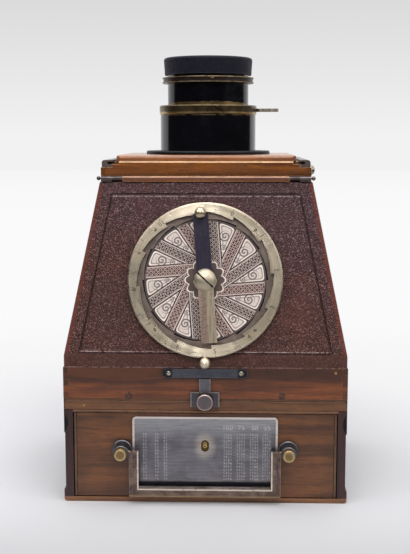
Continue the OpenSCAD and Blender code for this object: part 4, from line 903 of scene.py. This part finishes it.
def front_frame(y):
    """Frame on an upright front plane: x to the right, y up, z out towards the viewer."""
    return Matrix.Translation((0, y, 0)) @ Matrix.Rotation(radians(90), 4, "X")


DIGITS = {}  # each figure is made once
FIGURE_HIGH = 0.72  # of Blender's own font at size 1


def digit_mesh(char, plump):
    """Points and triangles of one figure, 1 high and 1 thick, centred, from Blender's font."""
    key = (char, plump)
    if key not in DIGITS:
        curve = MAKE.curves.new("figure", "FONT")
        curve.body, curve.extrude, curve.resolution_u = char, 0.5, 2 if plump else 1
        curve.align_x, curve.align_y, curve.offset = "CENTER", "CENTER", -0.004
        holder = placed("figure", curve)
        bpy.context.view_layer.update()
        mesh = MAKE.meshes.new_from_object(
            holder.evaluated_get(bpy.context.evaluated_depsgraph_get()))
        mesh.calc_loop_triangles()
        points = np.array([v.co[:] for v in mesh.vertices]) / (FIGURE_HIGH, FIGURE_HIGH, 1)
        faces = np.array([f.vertices[:] for f in mesh.loop_triangles])
        MAKE.objects.remove(holder)
        MAKE.meshes.remove(mesh)
        MAKE.curves.remove(curve)
        DIGITS[key] = (points, faces)
    return DIGITS[key]


def figures(text, centre, size, turn=0.0, thick=0.06, plump=True, pitch=0.74):
    """The figures of a number as thin solids, side by side on the frame's xy plane."""
    shapes = []
    for index, char in enumerate(text):
        points, faces = digit_mesh(char, plump)
        x, y, z = points.T
        x = x + (index - (len(text) - 1) / 2) * pitch
        flat = swung(centre, x * size, y * size, turn)
        shapes.append((np.stack([*flat, centre[2] + z * thick], -1), faces))
    return shapes


# --- leather cover


def leather_skin():
    """The body's leather as one closed sheet.

    Column u goes round a rounded rectangle and row v climbs from the rails to the top. Half
    width and half depth at height z are the band's below the break and shrink evenly above it.
    The sheet swells by a tenth of a millimetre between the tooled lines and dips along them:
    depth is a narrow bell of the distance to the line that runs at a fixed inset from the edges.
    """
    radius, thick, low_z = 2.5, 0.8, RAIL_TOP_Z
    bell = np.array([-1.6, -1.0, -0.7, -0.45, -0.2, 0.0, 0.2, 0.45, 0.7, 1.0, 1.6])
    edge = np.concatenate([[0.0, 1.2, 3.0, 4.8], LINE_INSET - radius + bell, [9.5, 12.0]])
    rows = np.concatenate([
        [low_z, low_z + 0.4, low_z + 2.2, 83.4, 84.8, BREAK_Z, 85.4], LINE_LOW_Z + bell[2:],
        np.linspace(91, 171, 33), LINE_TOP_Z + bell, [178.4, 180.4, 182, 182.5, CONE_TOP_Z]])
    rows = np.unique(np.round(rows, 4))
    rise = np.clip((rows - BREAK_Z) / (CONE_TOP_Z - BREAK_Z), 0, 1)
    half = [BAND[k] + (CONE_TOP[k] - BAND[k]) * rise for k in (0, 1)]
    mid = np.linspace(0, 1, 26)[1:-1]
    columns, insets, normals = [], [], []
    for side in range(4):
        wide, deep = half if side % 2 == 0 else half[::-1]
        run = wide - radius
        along = [-run + e for e in edge]
        left, right = -run + edge[-1], run - edge[-1]
        along += [left + (right - left) * m for m in mid]
        along += [run - e for e in edge[::-1]]
        turn = side * tau / 4
        c, s = cos(turn), sin(turn)
        for place in along:
            columns.append((place * c + deep * s, place * s - deep * c))
            insets.append(wide - np.abs(place))
            normals.append((s, -c))
        for bend in np.linspace(0, 1, 8)[1:-1]:
            angle = turn - tau / 4 + bend * tau / 4
            cx, cy = run * c + (deep - radius) * s, run * s - (deep - radius) * c
            columns.append((cx + radius * cos(angle), cy + radius * sin(angle)))
            insets.append(np.zeros_like(rows))
            normals.append((cos(angle), sin(angle)))
    x, y = [np.stack(places, -1) for places in zip(*columns)]
    inward = np.stack(insets, -1)
    out = np.array(normals)
    z = np.repeat(rows[:, None], x.shape[1], 1)
    upright = (z > LINE_LOW_Z - 0.2) & (z < LINE_TOP_Z + 0.2)
    line_gap = np.minimum(np.abs(z - LINE_LOW_Z) * 1.8, np.abs(z - LINE_TOP_Z))
    gap = np.minimum(np.where(upright, np.abs(inward - LINE_INSET), 9.0),
                     np.where(inward > LINE_INSET - 0.2, line_gap, 9.0))
    dip = -0.45 * np.exp(-(gap / 0.34) ** 2) + 0.08 * np.exp(-((gap - 1.0) / 0.45) ** 2)
    puff = 0.1
    for room in (inward - LINE_INSET, z - LINE_LOW_Z, LINE_TOP_Z - z):
        puff = puff * np.clip((room - 1) / 6, 0, 1)
    move = dip + puff - 0.5 * np.clip((z - 182) / 0.9, 0, 1) ** 2
    outer = np.stack([x + out[:, 0] * move, y + out[:, 1] * move, z], -1)
    inner = np.stack([x - out[:, 0] * thick, y - out[:, 1] * thick, z], -1)[::-1]
    points = np.concatenate([outer, inner])
    faces = quads(*points.shape[:2], True, True)
    points = points.reshape(-1, 3)
    return points, outward(points, faces)


def leather_finish():
    """Brown pebbled calf: dark furrows partly painted as shade, warm beads, red worn edges and
    darkened tooled lines, with painted sheen on the upper part, painted glints on the grain and
    painted highlights by the tooled lines.
    """
    t = start("body_leather")
    here = t.place()
    x, y, z = t.split(here)
    grain = t.use(PEBBLES, here, Scale=0.86)
    smooth_zone = most(t.ramp(z, 86.8, 86.2), t.ramp(z, 176.2, 177.0, 0.0, 0.2))
    bead = grain["Bead"]
    fine = t.noise(here, 2.6, 3.0, 0.65)
    t.base = t.mix(bounded(bead * 0.8 + fine * 0.3), (32, 12, 9), (106, 50, 35))
    # Painted sheen: the upper leather is painted purplish grey.
    high = t.ramp(z + x * 0.25, 110.0, 190.0)
    t.coat(high * 0.45, (64, 44, 58))
    worms = t.noise(here, 1.15, 2.0, 0.6, 1.2)
    # Painted shade: dark furrows in the grain.
    t.coat(t.ramp(worms, 0.45, 0.33) * 0.65, (26, 12, 15))
    # Painted glints on the grain, greyer on the upper part.
    painted_glint = t.mix(high, (178, 132, 122), (176, 144, 148))
    t.coat(t.ramp(worms, 0.54, 0.65) * 0.66, painted_glint)
    cloud, red = t.noise(here, 0.03, 4.0, 0.6), t.noise(here, 0.04, 3.0)
    t.coat(t.ramp(cloud, 0.38, 0.66) * 0.25, (64, 42, 44))
    t.coat(t.ramp(red, 0.5, 0.72) * 0.15, (126, 62, 44))
    rise = t.ramp(z, BREAK_Z, CONE_TOP_Z, 0, 1, "LINEAR")
    inset = most(BAND[0] - rise * (BAND[0] - CONE_TOP[0]) - abs(x),
                 BAND[1] - rise * (BAND[1] - CONE_TOP[1]) - abs(y))
    level = inset > LINE_INSET - 0.2
    low_line, top_line = abs(z - LINE_LOW_Z) * 1.8, abs(z - LINE_TOP_Z)
    beside = most(abs(inset - LINE_INSET),
                  most(LINE_LOW_Z - 0.1 - z, z - LINE_TOP_Z - 0.1) * 9.0)
    gap = least(beside, least(low_line, top_line) + (1 - level) * 9.0)
    tooled = t.ramp(gap, 0.6, 0.25)
    lit = sum(t.ramp(abs(z - rim), 0.45, 0.2) for rim in (LINE_TOP_Z - 1.1, LINE_LOW_Z + 0.8))
    ragged = t.ramp(t.noise(here, 0.6, 3.0), 0.35, 0.6)
    near_edge = t.ramp(inset + t.noise(here, 0.25, 3.0) * 1.2, 3.6, 2.4)
    t.coat(near_edge * 0.85, (112, 46, 30))
    worn = t.mask(EDGES, here, Reach=1.8, Amount=0.8) * near_edge
    t.coat(worn * 0.35, (138, 74, 50))
    t.coat(smooth_zone * 0.6, (78, 45, 35))
    t.coat(tooled * 0.7, (26, 14, 16))
    # Painted highlights just inside the top and bottom tooled lines.
    t.coat(bounded(lit * level * ragged * 0.7), (190, 166, 162))
    t.coat(t.ramp(z, 79.5, 79.1) * ragged * 0.6, (160, 142, 144))
    # Painted shade with dust in the leather's corners.
    t.coat(t.mask(CORNERS, here, Reach=3.0) * 0.6, (30, 20, 20))
    press = (1 - smooth_zone * 0.7) * (1 - tooled * 0.8)
    height = (grain["Height"] + fine * 0.25) * press
    shine = t.ramp(bead, 0.0, 1.0, 0.58, 0.33) + worn * 0.08
    return finish(t, shine, 0.0, t.relief(height, 0.42), Specular_IOR_Level=0.4)


skin = piece("leather_skin", [leather_skin()], leather_finish(), "camera", smooth=70)
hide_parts("leather_cover")

# --- dial marks


def ink_finish(name, low, high, rough=0.55, metallic=0.0):
    """Filled or struck marks: two tones in a fine noise."""
    t = start(name)
    here = t.place()
    t.base = t.mix(t.ramp(t.noise(here, 1.2, 3.0), 0.35, 0.7), low, high)
    return finish(t, t.ramp(t.noise(here, 0.6), 0, 1, rough, rough + 0.15), metallic)


ENGRAVED = ink_finish("engraved_marks", (24, 19, 16), (56, 46, 37))
RING_TOP, INDEX_TOP = 4.3, 5.55
FIGURE_R, LONG_TICK_R, TICK_R, RING_SCREW_R = 40.4, 42.0, 42.3, 39.7


def polar(radius, degrees):
    return swung((0, 0), radius, 0, degrees)


ring_marks = []
for number in range(11):
    angle = 68 - 30 * number
    ring_marks += figures(str(number), (*polar(FIGURE_R, angle), RING_TOP), 2.6, angle + 90)
    for part in range(3):
        at = angle - 10 + 10 * part
        tick = polar(TICK_R if part else LONG_TICK_R, at)
        ring_marks.append(bar((*tick, RING_TOP), (0.5 if part else 0.8, 0.1, 0.03), at))
piece("ring_figures", ring_marks, ENGRAVED, "ring", DIAL_FRAME)

SCREW_DARK = metal("screw_dark", (64, 60, 62), (40, 36, 38), 0.36, 0.4, 0.3, (140, 130, 118), 0.5)
SCREW_RAIL = metal("screw_rail", (112, 92, 84), (72, 58, 54), 0.5, 0.6, 0.3)
SCREW_BRIGHT = metal("screw_bright", (206, 196, 178), (150, 140, 124), 0.25, 0.3, 0.2)
BRASS_PIN = metal("brass_pin", (190, 158, 98), (140, 112, 66), 0.3, 0.4, 0.2)

piece("ring_screws", [
    screw_head((*polar(RING_SCREW_R, 45 + 90 * k), RING_TOP - 0.05), 1.15, 0.12, 30 + 50 * k,
               0.3, 0.12, 0.1)
    for k in range(4)], SCREW_DARK, "ring", DIAL_FRAME)

# Scale struck in the sunk left half of the index bar: ticks and a few figures.
INDEX_FRAME = DIAL_FRAME @ Matrix.Rotation(radians(LEAN), 4, "Z")
index_marks = [bar((-2.6, -9.6 - 1.9 * k, INDEX_TOP), (1.2 if k % 2 else 0.7, 0.11, 0.03))
               for k in range(13)]
for k in range(6):
    index_marks += figures(str(6 - k), (-1.1, -10.6 - 3.8 * k, INDEX_TOP), 1.8, 90, plump=False)
piece("index_scale", index_marks, ink_finish("index_ink", (110, 62, 66), (142, 92, 90)),
      "pointer", INDEX_FRAME)

# --- exposure table

TABLE = front_frame(-64.1)
rows_of_figures = []
for row in range(15):
    up = 39.9 - 1.86 * row
    for col, left in enumerate((-34.4, -27.6, -22.6, 12.9, 20.4, 27.9, 35.0)):
        low = 10 if col < 3 else 1000
        number = str(low + (53 * (row + 2) * (col + 3)) % (low * 9))
        rows_of_figures += figures(number, (left, up, 0.02), 1.36, plump=False, pitch=0.95)
for number, left in (("100", 12.9), ("75", 20.6), ("50", 28.2), ("25", 35.3)):
    rows_of_figures += figures(number, (left, 44.0, 0.02), 2.9, pitch=0.72)
PALE_FILL = ink_finish("pale_fill", (166, 162, 166), (226, 220, 218), 0.5)
piece("table_figures", rows_of_figures, PALE_FILL, "drawer", TABLE)

# Figures 1 to 12 round the counter wheel; the 8 stands behind the window.
WHEEL_Z, WHEEL_FIGURE_R = 24.6, 8.8
counter_marks = []
for number in range(1, 13):
    angle = 90 - 30 * (number - 8)
    cx, cy = polar(WHEEL_FIGURE_R, angle)
    counter_marks += figures(str(number), (cx, WHEEL_Z + cy, 0.0), 3.6 if number < 10 else 2.8,
                             angle - 90, 0.16)
piece("counter_figures", counter_marks,
      ink_finish("counter_ink", (188, 158, 100), (222, 196, 140), 0.4, 0.8), "counter",
      front_frame(-62.85))

# --- screws and pins

RAIL_FACE, CROSSBAR_FACE = front_frame(-64.45), front_frame(-65.55)
FLANGE_SCREW_R, FLANGE_Z = 33.1, 198.9
piece("rail_screws", [
    screw_head((x, 62.6 + 0.4 * k, 0.05), 2.1, 0.1, 20 + 55 * k, 0.55, 0.3, 0.3)
    for k, x in enumerate((-43.5, 43.5))], SCREW_RAIL, "camera", RAIL_FACE)
piece("wood_pins", [
    screw_head((-69.0, 56.6, -0.45), 0.75, 0.2, 0, 0.2, 0.02, 0.2),
    screw_head((73.65, 76.2, 0.05), 0.75, 0.2, 0, 0.2, 0.02, 0.2)],
    BRASS_PIN, "camera", RAIL_FACE)
piece("crossbar_screws", [
    screw_head((x, 75.95, 0.0), 1.25, 0.35, 40 * (1 if x > 0 else -1), 0.35, 0.25, 0.2)
    for x in (-20.5, 20.5)], SCREW_BRIGHT, "camera", CROSSBAR_FACE)
piece("flange_screws", [
    screw_head((*polar(FLANGE_SCREW_R, a), FLANGE_Z), 2.25, 0.75, a * 1.3, 0.6, 0.5, 0.1)
    for a in (90, 210, 330)], SCREW_DARK, "board")
piece("iris_index", [bar((3.1, -27.35, 242.3), (0.9, 0.12, 0.5))], BRASS_PIN, "iris")

# --- camera and set

FOCAL_PX, LONG_SIDE_PX, SENSOR = 1042.0, 554.0, 36.0
PITCH, YAW = 7.7, 1.7
camera = placed("photo_camera", MAKE.cameras.new("photo_camera"))
camera.data.sensor_width = SENSOR
camera.data.lens = FOCAL_PX / LONG_SIDE_PX * SENSOR
camera.location = (0.0171, -0.6398, 0.2085)
camera.rotation_euler = (radians(90 - PITCH), 0.0, radians(YAW))
SCENE.camera = camera


def floor_piece():
    """Round floor: rings of growing radius, finer near the object."""
    radii = np.array([0.0, 150, 300, 600, 1200, 2500, 6000])
    turn = np.linspace(0, tau, 97)[:-1]
    r, a = np.meshgrid(radii[1:], turn, indexing="ij")
    points = np.stack([r * np.cos(a), r * np.sin(a), np.full_like(r, -0.02)], -1).reshape(-1, 3)
    faces = quads(len(radii) - 1, len(turn), False, True).tolist()
    faces.append(list(range(len(turn))))
    mesh = MAKE.meshes.new("floor")
    mesh.from_pydata((points * MM).tolist(), [], faces)
    made = placed("floor", mesh)
    return made


def studio_light(t, east, north):
    """Light of the room by direction: dark on the side of the dial, bright beyond the object."""
    return t.ramp(north - east * 0.11, 0.41, 0.52, 0.03, 0.88)


def floor_finish():
    """Pale paper: shadowed near the object, its colour painted darker towards the front and lighter
    to the left as painted shade and light; evenly lit further off, with painted shade towards the
    front.
    """
    t = start("floor_paper")
    x, y, z = t.split(t.out("TexCoord", "Object"))
    away = distance(x, y)
    # Painted shade and light: the near paper is darker towards the front and lighter to the left.
    albedo = 0.73 - t.ramp(y, -0.05, -0.2, 0.0, 0.21)
    albedo = albedo + t.ramp(x, -0.06, -0.2, 0.0, 0.12) * t.ramp(y, -0.14, -0.02)
    near = t.out("BsdfDiffuse", 0, {"Color": t.join(albedo, albedo, albedo * 1.03)})
    pale = t.ramp(away, 0.2, 0.6, 0.9, 0.955) - t.ramp(away, 1.0, 9.0, 0.0, 0.075)
    # Painted shade: the far paper darkens towards the front.
    pale = pale * (1 - t.ramp(y, 0.1, -0.25, 0.0, 0.34) * t.ramp(away, 1.6, 0.6))
    room = most(studio_light(t, x / away, y / away), t.ramp(away, 0.75, 0.35, 0.0, 0.62))
    far = t.out("Emission", 0, {"Color": t.mix(
        t.out("LightPath", "Is Camera Ray"), t.join(room, room, room),
        t.join(pale, pale, pale * 1.01))})
    both = t.out("MixShader", 0, {0: t.ramp(away + x * 0.25, 0.11, 0.33), 1: near, 2: far})
    t.add("OutputMaterial", {"Surface": both})
    return t.made


floor_piece().data.materials.append(floor_finish())


def room_light():
    """The world: pale to the camera, a dim room in front and a bright one beyond to gloss."""
    t = start("studio", MAKE.worlds)
    x, y, z = t.split(t.out("TexCoord", "Generated"))
    shine = most(t.out("LightPath", "Is Glossy Ray"), t.out("LightPath", "Is Transmission Ray"))
    pale = t.ramp(z, 0.0, 0.12, 0.885, 0.71, "LINEAR")
    window = t.ramp(z, 0.1, 0.16) * t.ramp(z, 0.75, 0.5) * t.ramp(abs(x + 0.06), 0.44, 0.2)
    room = most(studio_light(t, x, y), window * 0.98)
    room = most(room, t.ramp(z - x * 0.05, 0.34, 0.68, 0.0, 1.4))
    room = most(room, t.ramp(x, 0.62, 0.88) * t.ramp(z, 0.07, 0.14) * 1.2)
    soft = t.ramp(z, -0.3, 1.0, 0.36, 0.52)
    level = t.mix(shine, t.join(soft, soft, soft * 1.02), t.join(room, room, room * 1.02))
    level = t.mix(t.out("LightPath", "Is Camera Ray"), level, t.join(pale, pale, pale * 1.004))
    t.add("OutputWorld", {"Surface": t.out("Background", 0, {"Color": level})})
    SCENE.world = t.made


room_light()


def soft_box(name, place, aim, wide, high, power):
    """Area lamp at place, in millimetres, facing aim."""
    lamp = MAKE.lights.new(name, "AREA")
    lamp.shape, lamp.size, lamp.size_y = "RECTANGLE", wide * MM, high * MM
    lamp.energy = power
    made = placed(name, lamp)
    made.location = [c * MM for c in place]
    way = made.location - Matrix.Translation([c * MM for c in aim]).translation
    made.rotation_euler = way.to_track_quat("Z", "Y").to_euler()


soft_box("lamp_left", (-900, -700, 800), (0, 0, 100), 500, 600, 2.0)
soft_box("lamp_right", (900, -650, 750), (0, 0, 100), 500, 600, 2.0)
soft_box("lamp_key", (60, -900, 1150), (0, -40, 110), 1200, 420, 7)
soft_box("lamp_top", (0, 100, 1300), (0, 0, 100), 1100, 900, 7)

SCENE.view_settings.view_transform = "Standard"
